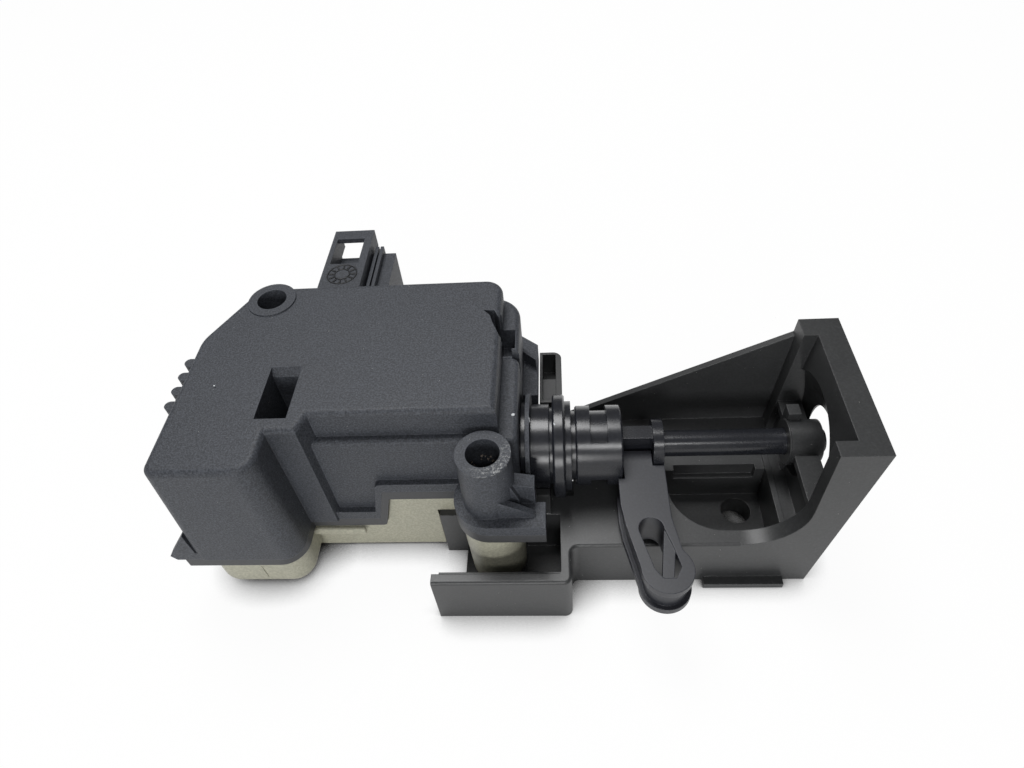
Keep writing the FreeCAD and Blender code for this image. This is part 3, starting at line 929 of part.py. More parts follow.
pins = fuse("pins_solid", [box("pin_%d" % i, ("plug_left + %g - 0.4" % x, "plug_left + %g + 0.4" % x),
                               ("back_y - wall - 5", "plug_end - 5"),
                               ("(plug_low + plug_high) / 2 - 1.1", "(plug_low + plug_high) / 2 + 1.1"))
                           for i, x in enumerate((4.6, 11.6))])
sub_part("connector_pins", pins)

# Motor
can_round = cylinder("can_round", "motor_tall / 2", "y", ("motor_front", "motor_back"), ("motor_x", "motor_z"))
can_flats = box("can_flats", ("motor_x - motor_w / 2", "motor_x + motor_w / 2"), ("motor_front - 1", "motor_back + 1"),
                ("motor_z - motor_tall", "motor_z + motor_tall"))
can_body = common("can_body", can_round, can_flats)
can_boss = cylinder("can_boss", "3", "y", ("motor_back", "motor_back + 1.4"), ("motor_x", "motor_z"))
can_bore = cylinder("can_bore", "shaft_r + 0.05", "y", ("motor_front - 2", "motor_back + 3"), ("motor_x", "motor_z"))
can = cut("can_solid", fuse("can_mass", [can_body, can_boss]), [can_bore])
sub_part("motor_can", can)
cap_round = cylinder("cap_round", "motor_tall / 2 - 0.3", "y", ("motor_front - 2", "motor_front"), ("motor_x", "motor_z"))
cap_flats = box("cap_flats", ("motor_x - motor_w / 2 + 0.3", "motor_x + motor_w / 2 - 0.3"),
                ("motor_front - 3", "motor_front + 1"), ("motor_z - motor_tall", "motor_z + motor_tall"))
cap = cut("cap_solid", common("cap_body", cap_round, cap_flats),
          [cylinder("cap_bore", "shaft_r + 0.05", "y", ("motor_front - 3", "motor_front + 1"), ("motor_x", "motor_z"))])
sub_part("motor_end_cap", cap)
shaft = cylinder("shaft_solid", "shaft_r", "y", ("motor_front - 1.8", "shaft_end - 0.2"), ("motor_x", "motor_z"))
sub_part("motor_shaft", shaft)
bearing = cut("bearing_solid", box("bearing_block", ("motor_x - 3", "motor_x + 3"), ("shaft_end - 1.9", "shaft_end - 0.2"),
                                   ("motor_z - 2.1", "motor_z + 3.2")),
              [cylinder("bearing_bore", "shaft_r + 0.05", "y", ("shaft_end - 3", "shaft_end + 1"), ("motor_x", "motor_z"))])
sub_part("shaft_bearing", bearing)


def body_sketch(body, name, role, points):
    """A sketch on one of the body's own planes."""
    plane = [f for f in body.Origin.OriginFeatures if f.Role == role][0]
    sketch = body.newObject("Sketcher::SketchObject", name)
    sketch.AttachmentSupport = [(plane, "")]
    sketch.MapMode = "FlatFace"
    closed_outline(sketch, points)
    return sketch


# Worm: a core with one thread, made about its own Z axis and laid along Y
worm = turned("worm_body", [("shaft_r + 0.02", "0"), ("worm_root", "0"), ("worm_root", "worm_len"),
                            ("shaft_r + 0.02", "worm_len")],
              ("motor_x", "wheel_y - 3 * %s" % LEAD, "motor_z"), ALONG_Y)
thread = body_sketch(worm, "thread_profile", "XZ_Plane",
                     [("worm_root - 0.1", "0.28 * %s" % LEAD), ("worm_root - 0.1", "0.72 * %s" % LEAD),
                      ("worm_tip", "0.57 * %s" % LEAD), ("worm_tip", "0.43 * %s" % LEAD)])
helix = worm.newObject("PartDesign::AdditiveHelix", "thread")
helix.Profile = thread
helix.ReferenceAxis = (thread, ["V_Axis"])
helix.Mode = 0
helix.setExpression("Pitch", bound(LEAD))
helix.setExpression("Height", bound("worm_len - %s" % LEAD))
sub_part("worm", worm)


def gear(name, module, teeth, thickness, bore, place, tooth_share, tip, root, phase):
    """A toothed wheel: a blank, one tooth, and a polar pattern of that tooth."""
    body = turned(name, [("%s + pin_gap" % bore, "0"), ("%s - %s" % (radius(module, teeth), root), "0"),
                         ("%s - %s" % (radius(module, teeth), root), thickness), ("%s + pin_gap" % bore, thickness)],
                  place, UPRIGHT)
    half = "%s * %s * pi / 4" % (module, tooth_share)
    pitch_r = radius(module, teeth)
    tooth = body_sketch(body, name + "_tooth", "XY_Plane",
                        [("%s - %s - 0.3" % (pitch_r, root), "-1.45 * " + half), (pitch_r, "-" + half),
                         ("%s + %s" % (pitch_r, tip), "-0.5 * " + half), ("%s + %s" % (pitch_r, tip), "0.5 * " + half),
                         (pitch_r, half), ("%s - %s - 0.3" % (pitch_r, root), "1.45 * " + half)])
    pad_one = body.newObject("PartDesign::Pad", name + "_one")
    pad_one.Profile = tooth
    pad_one.setExpression("Length", bound(thickness))
    doc.recompute()
    ring = body.newObject("PartDesign::PolarPattern", name + "_ring")
    ring.Originals = [pad_one]
    axis = [f for f in body.Origin.OriginFeatures if f.Role == "Z_Axis"][0]
    ring.Axis = (axis, [""])
    ring.Angle = 360
    ring.setExpression("Occurrences", bound(teeth))
    body.Tip = ring
    body.Placement = FreeCAD.Placement(body.Placement.Base, Rotation(Vector(0, 0, 1), phase))
    return body


wheel = gear("worm_wheel_body", "wheel_module", "wheel_teeth", "wheel_t", "axle_r",
             (WHEEL_X, "wheel_y", "motor_z - wheel_t / 2"), "0.72", "0.42", "0.8", 0)
sub_part("worm_wheel", wheel)
pinion = gear("pinion_body", "pinion_module", "pinion_teeth", "rack_low + rack_t - motor_z - wheel_t / 2 - 0.2", "axle_r",
              (WHEEL_X, "wheel_y", "motor_z + wheel_t / 2"), "0.8", "0.8", "1.05", 0)
sub_part("drive_pinion", pinion)
axle = cylinder("axle_solid", "axle_r", "z", ("1.2", "rack_low + rack_t + 6"), (WHEEL_X, "wheel_y"))
sub_part("wheel_axle", axle)

# Slider: spindle, collar and rack in one moulding
slider = turned("slider_body", [("0", "spindle_left"), ("spindle_r", "spindle_left"), ("spindle_r", "cup_end - cup_end_t - 0.15"),
                                ("0", "cup_end - cup_end_t - 0.15")], ON_AXIS, ALONG_X)
STOP_X = "nose_inner_x - buffer_t - stroke - free_gap"
collar_ring = cylinder("slider_collar_ring", "spindle_r + stop_tall", "x", (STOP_X + " - 2.4", STOP_X), ("axis_y", "axis_z"))
collar_block = box("slider_collar_block", (STOP_X + " - 3", STOP_X + " + 1"), ("axis_y - stop_half", "axis_y + stop_half"),
                   ("axis_z + 2", "axis_z + 2 * spindle_r"))
collar = common("slider_collar", collar_ring, collar_block)
carrier = box("rack_carrier", ("spindle_left - 2", "spindle_left + 4"), ("axis_y - 3", PITCH_Y + " - 1.05"),
              ("rack_low - 2", "rack_low + rack_t"))
rack_bar = box("rack_bar", ("%s - 5 * pi * pinion_module - 1.2" % WHEEL_X, "spindle_left + 2"),
               (PITCH_Y + " - 1.05 - 2.4", PITCH_Y + " - 1.05"), ("rack_low", "rack_low + rack_t"))
rack_tooth = doc.addObject("PartDesign::Body", "rack_teeth_body")
tooth_plan = body_sketch(rack_tooth, "rack_tooth_plan", "XY_Plane",
                         [("-0.75", "-1.15"), ("0.75", "-1.15"), ("0.28", "0.75"), ("-0.28", "0.75")])
tooth_pad = rack_tooth.newObject("PartDesign::Pad", "rack_tooth")
tooth_pad.Profile = tooth_plan
tooth_pad.setExpression("Length", bound("rack_t"))
doc.recompute()
teeth_row = rack_tooth.newObject("PartDesign::LinearPattern", "rack_row")
teeth_row.Originals = [tooth_pad]
teeth_row.Direction = (tooth_plan, ["H_Axis"])
teeth_row.setExpression("Length", bound("(rack_teeth - 1) * pi * pinion_module"))
teeth_row.setExpression("Occurrences", bound("rack_teeth"))
rack_tooth.Tip = teeth_row
for axis, held in zip("xyz", ("%s - 5 * pi * pinion_module" % WHEEL_X, PITCH_Y, "rack_low")):
    rack_tooth.setExpression("Placement.Base." + axis, bound(held))
slider_all = fuse("slider_solid", [slider, collar, carrier, rack_bar, rack_tooth])
sub_part("drive_slider", slider_all)

# Contact strips from the motor to the connector
for number, (x, z, end) in enumerate((("motor_x - 4", "rack_low + rack_t + 6.4", "4.6"),
                                      ("motor_x + 4", "rack_low + rack_t + 9.4", "11.6"))):
    strip = fuse("strip_solid_%d" % number, [
        box("strip_up_%d" % number, ("(%s) - 0.9" % x, "(%s) + 0.9" % x), ("motor_front - 2.8", "motor_front - 2.2"),
            ("motor_z + 4", "(%s) + 0.5" % z)),
        box("strip_long_%d" % number, ("(%s) - 0.9" % x, "(%s) + 0.9" % x), ("motor_front - 2.8", "rear_y - boss_r - 1"),
            (z, "(%s) + 0.5" % z)),
        box("strip_cross_%d" % number, ("(%s) - 0.9" % x, "plug_left + %s + 0.9" % end),
            ("rear_y - boss_r - 2.8", "rear_y - boss_r - 1"), (z, "(%s) + 0.5" % z)),
        box("strip_out_%d" % number, ("plug_left + %s - 0.9" % end, "plug_left + %s + 0.9" % end),
            ("rear_y - boss_r - 2.8", "back_y - wall - 4.4"), (z, "(%s) + 0.5" % z)),
        box("strip_drop_%d" % number, ("plug_left + %s - 0.9" % end, "plug_left + %s + 0.9" % end),
            ("back_y - wall - 5", "back_y - wall - 4.4"), ("(plug_low + plug_high) / 2 + 1.1", "(%s) + 0.5" % z))])
    sub_part(("contact_strip_left", "contact_strip_right")[number], strip)

doc.recompute()
for item in doc.Objects:
    if "Invalid" in item.State or "Error" in item.State:
        raise RuntimeError("%s failed: %s" % (item.Name, item.State))
for piece in PARTS:
    if piece.Shape.isNull() or not piece.Shape.isValid():
        raise RuntimeError("%s has no valid shape" % piece.Label)

os.makedirs("parts", exist_ok=True)
for piece in PARTS:
    piece.Shape.exportStep("parts/%s.step" % piece.Label)
    print("%-22s solids %d  volume %9.1f  %s" % (piece.Label, len(piece.Shape.Solids), piece.Shape.Volume,
                                                 piece.Shape.BoundBox))
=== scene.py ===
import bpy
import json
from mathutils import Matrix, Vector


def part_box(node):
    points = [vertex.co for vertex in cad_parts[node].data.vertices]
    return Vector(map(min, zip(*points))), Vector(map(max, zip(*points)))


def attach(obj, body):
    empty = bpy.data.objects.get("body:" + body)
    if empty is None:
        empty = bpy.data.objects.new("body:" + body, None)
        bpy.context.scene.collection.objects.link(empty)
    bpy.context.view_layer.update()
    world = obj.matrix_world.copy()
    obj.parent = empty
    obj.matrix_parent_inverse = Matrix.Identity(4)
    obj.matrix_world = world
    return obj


bl_info = {
    "name": "Fuel flap lock looks",
    "version": (1, 0, 0),
    "blender": (4, 5, 0),
    "location": "View3D > Sidebar > Flap lock",
    "description": "Finishes the pieces of a fuel flap lock and sets them on a pale floor",
    "category": "Object",
}

import json
import math

import bmesh
import bpy
from bpy.props import FloatProperty, FloatVectorProperty, IntProperty, PointerProperty
from mathutils import Matrix, Vector

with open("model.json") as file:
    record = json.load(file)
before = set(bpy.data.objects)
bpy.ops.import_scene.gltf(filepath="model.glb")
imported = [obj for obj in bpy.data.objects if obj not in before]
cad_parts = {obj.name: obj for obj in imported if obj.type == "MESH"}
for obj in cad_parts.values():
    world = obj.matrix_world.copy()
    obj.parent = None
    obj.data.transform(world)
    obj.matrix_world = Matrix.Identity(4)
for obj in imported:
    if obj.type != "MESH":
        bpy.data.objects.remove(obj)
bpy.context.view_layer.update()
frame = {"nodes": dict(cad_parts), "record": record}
MM = 0.001

# Places on the object, worked out from the loaded nodes and the record's mounts
CASING_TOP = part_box("upper_shell")[1][2]
SOCKET_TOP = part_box("connector_socket")[1][2]
ROD_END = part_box("bolt_rod")[1][0]
MOUNTS = {mount["name"]: Vector(mount["pos_m"]) for mount in frame["record"]["mounts"]}
FRONT_BORE = MOUNTS["front_screw_bore"]
AXIS = MOUNTS["bolt_tip"]

# Scuffed ring on the front screw boss, lighter toward its front right as a painted highlight
BOSS_TOP = 42.0 * MM
SCUFF_INNER = 3.2 * MM
SCUFF_OUTER = 5.6 * MM
SCUFF_DEPTH = 0.4 * MM
SCUFF_AND_HIGHLIGHT_COLOUR = (0.55, 0.56, 0.55, 1)

# Rim and draft line of the lower shell, each from its low to its high corner
RIM = ((-43.0 * MM, 2.75 * MM, 8.4 * MM), (-30.2 * MM, 3.6 * MM, 10.5 * MM))
RIM_SOFT = 0.15 * MM
DRAFT = ((-52.35 * MM, -5.95 * MM, 4.7 * MM), (-52.1 * MM, -5.7 * MM, 9.6 * MM))
DRAFT_SOFT = 0.05 * MM

# Rounded end of the rod; its centre lies a little beyond the end of the CAD rod
TIP_RADIUS = 2.82 * MM
TIP_LENGTH = 4.0 * MM
TIP_AHEAD = 0.4 * MM
TIP_SOFT = 0.4 * MM

# Date dial: its centre, and its parts as shares of its radius
DIAL_X = -36.4 * MM
DIAL_Y = 51.8 * MM
RING_SHARES = (1.0, 0.52)
TICK_CENTRE = 0.76
TICK_LENGTH = 0.3

# Dust and crumbs: least and most scale of a grain, its largest tilt and turn
GRAIN_LEAST = (0.3, 0.3, 0.2)
GRAIN_MOST = (1.0, 1.0, 0.5)
GRAIN_TURN = (0.6, 0.6, 6.28)
CRUMB_RADIUS = 3.2 * MM
CRUMB_BAND = 2.2 * MM
CRUMB_DROP = 10.6 * MM
CRUMB_DENSITY = 900000.0

# Grease: centre, half sizes and turn of each drop and streak
SLEEVE_DROP = ((5.3 * MM, 11.0 * MM, 39.75 * MM), (0.42 * MM, 0.34 * MM, 0.22 * MM), 0.4)
CASING_DROP = ((-54.77 * MM, 14.56 * MM, CASING_TOP), (0.2 * MM, 0.16 * MM, 0.1 * MM), 0.0)
RING_STREAK = ((8.3 * MM, 12.9 * MM, 35.6 * MM), (0.12 * MM, 0.5 * MM, 0.75 * MM), 0.2)
MOUTH_STREAK = ((13.4 * MM, 12.0 * MM, 35.3 * MM), (0.16 * MM, 0.4 * MM, 0.14 * MM), 0.3)

# Stage: each lamp's name, place, side in metres and watts; all aim at the middle of the part
LAMPS = (("key lamp", (-0.12, 0.28, 0.80), 0.40, 5.4),
         ("low lamp", (-0.10, -0.80, 0.26), 0.22, 2.6),
         ("front lamp", (0.10, -0.60, 0.72), 0.16, 1.5))
LAMP_AIM = (0, 0.01, 0.02)
FLOOR_COLOUR = (0.90, 0.90, 0.89, 1)
FLOOR_WHITE = 0.95
WORLD_LIGHT = 0.18
WORLD_SEEN = 0.82
SENSOR_WIDTH = 36


class FlapLockFinish(bpy.types.PropertyGroup):
    """Colours and surface sizes of the finishes"""

    casing: FloatVectorProperty(name="Casing", description="Textured dark grey moulding",
                                subtype="COLOR", default=(0.047, 0.051, 0.060), min=0, max=1)
    bracket: FloatVectorProperty(name="Bracket", description="Smooth black moulding",
                                 subtype="COLOR", default=(0.030, 0.031, 0.032), min=0, max=1)
    satin: FloatVectorProperty(name="Satin", description="Bolt, sleeve and arm",
                               subtype="COLOR", default=(0.014, 0.015, 0.019), min=0, max=1)
    ivory: FloatVectorProperty(name="Ivory", description="Natural moulding of the lower shell",
                               subtype="COLOR", default=(0.37, 0.362, 0.285), min=0, max=1)
    seal: FloatVectorProperty(name="Seal", description="Elastomer between the shells",
                              subtype="COLOR", default=(0.030, 0.031, 0.034), min=0, max=1)
    grain: FloatProperty(name="Grain", description="Size of the casing's surface grain",
                         subtype="DISTANCE", unit="LENGTH", default=0.35 * MM, min=0.05 * MM, max=2 * MM)
    grain_depth: FloatProperty(name="Grain depth", description="Height of the casing's surface grain",
                               subtype="DISTANCE", unit="LENGTH", default=0.09 * MM, min=0, max=0.5 * MM)
    # How light the screw ring's scuffs and their painted highlight are
    wear_and_highlight: FloatProperty(name="Wear", description="How light the worn screw ring is",
                        subtype="FACTOR", default=0.7, min=0, max=1)


class FlapLockDetail(bpy.types.PropertyGroup):
    """Sizes of the small pieces that sit on the mouldings"""

    dial_radius: FloatProperty(name="Dial radius", description="Date dial on the connector",
                               subtype="DISTANCE", unit="LENGTH", default=3.5 * MM, min=1 * MM, max=8 * MM)
    dial_ticks: IntProperty(name="Dial ticks", description="Marks round the date dial",
                            default=12, min=4, max=36)
    dial_line: FloatProperty(name="Dial line", description="Width of the dial's lines",
                             subtype="DISTANCE", unit="LENGTH", default=0.40 * MM, min=0.05 * MM, max=1 * MM)
    fleck: FloatProperty(name="Fleck", description="Largest dust fleck",
                         subtype="DISTANCE", unit="LENGTH", default=0.10 * MM, min=0.02 * MM, max=1 * MM)
    fleck_density: FloatProperty(name="Flecks", description="Dust flecks on each square metre",
                                 default=14000, min=0, max=200000)
    fleck_seed: IntProperty(name="Fleck seed", description="Order of the dust flecks", default=7, min=0)
    crumb: FloatProperty(name="Crumb", description="Largest crumb in the screw boss",
                         subtype="DISTANCE", unit="LENGTH", default=0.42 * MM, min=0.05 * MM, max=2 * MM)
    crumb_seed: IntProperty(name="Crumb seed", description="Order of the crumbs", default=5, min=0)


class FlapLockStage(bpy.types.PropertyGroup):
    """Camera and floor"""

    camera_place: FloatVectorProperty(name="Camera", description="Place of the camera",
                                      subtype="TRANSLATION", unit="LENGTH",
                                      default=(15.56 * MM, -77.80 * MM, 146.5 * MM))
    pitch: FloatProperty(name="Pitch", description="Angle of the view below the horizon",
                         subtype="ANGLE", unit="ROTATION", default=math.radians(47.5375))
    yaw: FloatProperty(name="Yaw", description="Turn of the view about the vertical",
                       subtype="ANGLE", unit="ROTATION", default=math.radians(-6.2895))
    roll: FloatProperty(name="Roll", description="Turn of the picture about the view",
                        subtype="ANGLE", unit="ROTATION", default=math.radians(-6.2119))
    focal: FloatProperty(name="Focal length", description="In millimetres, for the camera's sensor width",
                         default=24.496, min=5, max=200)
    floor_size: FloatProperty(name="Floor", description="Side of the floor",
                              subtype="DISTANCE", unit="LENGTH", default=3.0, min=0.5, max=20)
    shadow_reach: FloatProperty(name="Shadow reach", description="How far the contact shadow spreads",
                                subtype="DISTANCE", unit="LENGTH", default=9 * MM, min=1 * MM, max=100 * MM)


# Node helpers

def new_material(name):
    """A node material, with its nodes, its links and its shader."""
    material = bpy.data.materials.new(name)
    material.use_nodes = True
    nodes = material.node_tree.nodes
    return material, nodes, material.node_tree.links, nodes["Principled BSDF"]


def noise(nodes, links, coords, scale, detail=2.0, rough=0.5):
    """A noise pattern on the given coordinates; scale is in turns per metre."""
    node = nodes.new("ShaderNodeTexNoise")
    node.inputs["Scale"].default_value = scale
    node.inputs["Detail"].default_value = detail
    node.inputs["Roughness"].default_value = rough
    links.new(coords, node.inputs["Vector"])
    return node.outputs["Fac"]


def ramp(nodes, links, value, low, high):
    """Black to white between two levels of a value."""
    node = nodes.new("ShaderNodeValToRGB")
    node.color_ramp.elements[0].position = low
    node.color_ramp.elements[0].color = (0, 0, 0, 1)
    node.color_ramp.elements[1].position = high
    node.color_ramp.elements[1].color = (1, 1, 1, 1)
    links.new(value, node.inputs["Fac"])
    return node.outputs["Color"]


def maths(nodes, links, kind, first, second):
    """One sum on two sockets or numbers."""
    node = nodes.new("ShaderNodeMath")
    node.operation = kind
    for number, item in enumerate((first, second)):
        if isinstance(item, (int, float)):
            node.inputs[number].default_value = item
        else:
            links.new(item, node.inputs[number])
    return node.outputs["Value"]


def mixed(nodes, links, amount, first, second):
    """A mix of two colours."""
    node = nodes.new("ShaderNodeMix")
    node.data_type = "RGBA"
    for title, item in (("Factor", amount), ("A", first), ("B", second)):
        if isinstance(item, (int, float, tuple)):
            node.inputs[title].default_value = item
        else:
            links.new(item, node.inputs[title])
    return node.outputs["Result"]


def shade(colour, factor):
    """A colour made lighter or darker, with full cover."""
    return tuple(min(1.0, channel * factor) for channel in colour) + (1.0,)


def edge_mask(nodes, links, width, full=0.12):
    """One where an edge is near, nought on open faces."""
    bevel = nodes.new("ShaderNodeBevel")
    bevel.samples = 4
    bevel.inputs["Radius"].default_value = width
    geometry = nodes.new("ShaderNodeNewGeometry")
    dot = nodes.new("ShaderNodeVectorMath")
    dot.operation = "DOT_PRODUCT"
    links.new(bevel.outputs["Normal"], dot.inputs[0])
    links.new(geometry.outputs["Normal"], dot.inputs[1])
    return ramp(nodes, links, maths(nodes, links, "SUBTRACT", 1.0, dot.outputs["Value"]), low=0.0, high=full)


def moulded(name, colour, rough, grain, depth, wear_and_highlight=0.5, mottle=0.12, rounding=0.25 * MM, gloss=0.5,
            speckle=0.1, wear_and_highlight_lift=1.9, rough_spread=0.16):
    """Moulded plastic: grain in the surface, slight mottling, edges painted a little lighter as edge wear and
    as a painted highlight.
    """
    material, nodes, links, shader = new_material(name)
    coords = nodes.new("ShaderNodeTexCoord").outputs["Object"]
    cloud = noise(nodes, links, coords, scale=90.0, detail=3.0)
    fine = noise(nodes, links, coords, scale=1.0 / grain, detail=2.0, rough=0.6)
    speck = noise(nodes, links, coords, scale=0.45 / grain, detail=2.0, rough=0.7)
    base = mixed(nodes, links, cloud, shade(colour, 1 - mottle), shade(colour, 1 + mottle))
    dark = shade((1, 1, 1), 1 - speckle)
    light = (1 + 1.6 * speckle, 1 + 1.6 * speckle, 1 + 1.6 * speckle, 1.0)
    dots = mixed(nodes, links, ramp(nodes, links, fine, low=0.40, high=0.66), dark, light)
    dotted = nodes.new("ShaderNodeVectorMath")
    dotted.operation = "MULTIPLY"
    links.new(base, dotted.inputs[0])
    links.new(dots, dotted.inputs[1])
    spotted = mixed(nodes, links, ramp(nodes, links, speck, low=0.60, high=0.75), dotted.outputs["Vector"],
                    shade(colour, 1 + 3 * mottle))
    # Lighter edges: partly edge wear, partly a painted highlight along the rounded edges
    edges = edge_mask(nodes, links, width=1.6 * rounding)
    cover = maths(nodes, links, "MULTIPLY", edges, wear_and_highlight)
    links.new(mixed(nodes, links, cover, spotted, shade(colour, wear_and_highlight_lift)), shader.inputs["Base Color"])
    spread = maths(nodes, links, "MULTIPLY", cloud, rough_spread)
    links.new(maths(nodes, links, "ADD", spread, rough - rough_spread / 2), shader.inputs["Roughness"])
    shader.inputs["Specular IOR Level"].default_value = gloss
    rounded = nodes.new("ShaderNodeBevel")
    rounded.samples = 6
    rounded.inputs["Radius"].default_value = rounding
    bump = nodes.new("ShaderNodeBump")
    bump.inputs["Strength"].default_value = 1.0
    bump.inputs["Distance"].default_value = depth
    links.new(fine, bump.inputs["Height"])
    links.new(rounded.outputs["Normal"], bump.inputs["Normal"])
    links.new(bump.outputs["Normal"], shader.inputs["Normal"])
    return material


def add_ring_wear_and_highlight(material, centre, inner, outer, low, amount, colour):
    """Light scuffs on a screw ring, where the screw head has turned, made stronger toward the front right as
    a painted highlight.
    """
    nodes, links = material.node_tree.nodes, material.node_tree.links
    shader = nodes["Principled BSDF"]
    before = shader.inputs["Base Color"].links[0].from_socket
    coords = nodes.new("ShaderNodeTexCoord").outputs["Object"]
    split = nodes.new("ShaderNodeSeparateXYZ")
    links.new(coords, split.inputs["Vector"])
    across = maths(nodes, links, "SUBTRACT", split.outputs["X"], centre.x)
    along = maths(nodes, links, "SUBTRACT", split.outputs["Y"], centre.y)
    squared = maths(nodes, links, "ADD", maths(nodes, links, "MULTIPLY", across, across),
                    maths(nodes, links, "MULTIPLY", along, along))
    reach = maths(nodes, links, "SQRT", squared, 0.0)
    inside = maths(nodes, links, "LESS_THAN", reach, outer)
    outside = maths(nodes, links, "GREATER_THAN", reach, inner)
    above = maths(nodes, links, "GREATER_THAN", split.outputs["Z"], low)
    zone = maths(nodes, links, "MULTIPLY", maths(nodes, links, "MULTIPLY", inside, outside), above)
    patches = noise(nodes, links, coords, scale=1500.0, detail=4.0, rough=0.75)
    scuffs = ramp(nodes, links, patches, low=0.50, high=0.62)
    # Stronger toward the front right: a painted highlight on the scuffed ring
    slant = maths(nodes, links, "SUBTRACT", across, along)
    side = ramp(nodes, links, maths(nodes, links, "MULTIPLY", slant, 90.0), low=0.05, high=0.75)
    cover = maths(nodes, links, "MULTIPLY", maths(nodes, links, "MULTIPLY", zone, scuffs), side)
    links.new(mixed(nodes, links, maths(nodes, links, "MULTIPLY", cover, amount), before, colour),
              shader.inputs["Base Color"])


def metal(name, colour, rough, grain):
    """Drawn or plated metal with fine lines along one way."""
    material, nodes, links, shader = new_material(name)
    coords = nodes.new("ShaderNodeTexCoord").outputs["Object"]
    mapping = nodes.new("ShaderNodeMapping")
    mapping.inputs["Scale"].default_value = (1.0, 0.08, 1.0)
    links.new(coords, mapping.inputs["Vector"])
    lines = noise(nodes, links, mapping.outputs["Vector"], scale=1.0 / grain, detail=3.0)
    tint = mixed(nodes, links, lines, shade(colour, 0.82), shade(colour, 1.08))
    links.new(tint, shader.inputs["Base Color"])
    spread = maths(nodes, links, "MULTIPLY", lines, 0.2)
    links.new(maths(nodes, links, "ADD", spread, rough), shader.inputs["Roughness"])
    shader.inputs["Metallic"].default_value = 1.0
    return material


def finish_nodes(names, material):
    """Give loaded nodes their material."""
    for name in names:
        slots = frame["nodes"][name].data.materials
        slots.clear()
        slots.append(material)


# Geometry helpers

def new_tree(name, numbers):
    """A geometry node tree with named number inputs and one mesh output."""
    tree = bpy.data.node_groups.new(name, "GeometryNodeTree")
    tree.interface.new_socket("Geometry", in_out="INPUT", socket_type="NodeSocketGeometry")
    tree.interface.new_socket("Geometry", in_out="OUTPUT", socket_type="NodeSocketGeometry")
    for title, value in numbers.items():
        kind = "NodeSocketInt" if isinstance(value, int) else "NodeSocketFloat"
        tree.interface.new_socket(title, in_out="INPUT", socket_type=kind)
    return tree, tree.nodes.new("NodeGroupInput"), tree.nodes.new("NodeGroupOutput")


def close_tree(tree, result, output, material):
    """End a tree in real geometry with its material."""
    real = tree.nodes.new("GeometryNodeRealizeInstances")
    paint = tree.nodes.new("GeometryNodeSetMaterial")
    paint.inputs["Material"].default_value = material
    tree.links.new(result, real.inputs["Geometry"])
    tree.links.new(real.outputs["Geometry"], paint.inputs["Geometry"])
    tree.links.new(paint.outputs["Geometry"], output.inputs["Geometry"])


def grown(name, base, tree, numbers):
    """Run a tree on a mesh and return the plain mesh that it makes."""
    carrier = bpy.data.objects.new(name, base)
    bpy.context.scene.collection.objects.link(carrier)
    modifier = carrier.modifiers.new("nodes", "NODES")
    modifier.node_group = tree
    for item in tree.interface.items_tree:
        if item.in_out == "INPUT" and item.name in numbers:
            modifier[item.identifier] = numbers[item.name]
    graph = bpy.context.evaluated_depsgraph_get()
    mesh = bpy.data.meshes.new_from_object(carrier.evaluated_get(graph))
    bpy.data.objects.remove(carrier)
    return mesh


def add_piece(name, mesh, body, material=None):
    """Make a mesh a piece that moves with a body."""
    if material is not None:
        mesh.materials.clear()
        mesh.materials.append(material)
    mesh.name = name
    piece = bpy.data.objects.new(name, mesh)
    bpy.context.scene.collection.objects.link(piece)
    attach(piece, body)
    return piece


def as_mesh(name, shape):
    """Turn a worked shape into a mesh and let the shape go."""
    mesh = bpy.data.meshes.new(name)
    shape.to_mesh(mesh)
    shape.free()
    return mesh


def beads(name, places):
    """Flattened drops; each place is its centre, its half sizes and its turn about the vertical."""
    shape = bmesh.new()
    for centre, halves, turn in places:
        turned = Matrix.Translation(Vector(centre)) @ Matrix.Rotation(turn, 4, "Z")
        move = turned @ Matrix.Diagonal((*halves, 1.0))
        bmesh.ops.create_uvsphere(shape, u_segments=16, v_segments=10, radius=1.0, matrix=move)
    for face in shape.faces:
        face.smooth = True
    return as_mesh(name, shape)


def block(name, low, high, soft):
    """A small box between two corners, with softened edges."""
    shape = bmesh.new()
    low, high = Vector(low), Vector(high)
    move = Matrix.Translation((low + high) / 2) @ Matrix.Diagonal((*(high - low), 1.0))
    bmesh.ops.create_cube(shape, size=1.0, matrix=move)
    bmesh.ops.bevel(shape, geom=shape.edges[:], offset=soft, segments=2, affect="EDGES")
    return as_mesh(name, shape)


def rod_tip(name, centre, radius, length, soft):
    """A short rod along X with its front rim rounded."""
    shape = bmesh.new()
    turn = Matrix.Translation(centre) @ Matrix.Rotation(math.pi / 2, 4, "Y")
    bmesh.ops.create_cone(shape, cap_ends=True, segments=48, radius1=radius, radius2=radius, depth=length,
                          matrix=turn)
    rim = [edge for edge in shape.edges if all(vert.co.x > centre[0] for vert in edge.verts)]
    bmesh.ops.bevel(shape, geom=rim, offset=soft, segments=3, affect="EDGES")
    for face in shape.faces:
        face.smooth = len(face.verts) == 4
    return as_mesh(name, shape)


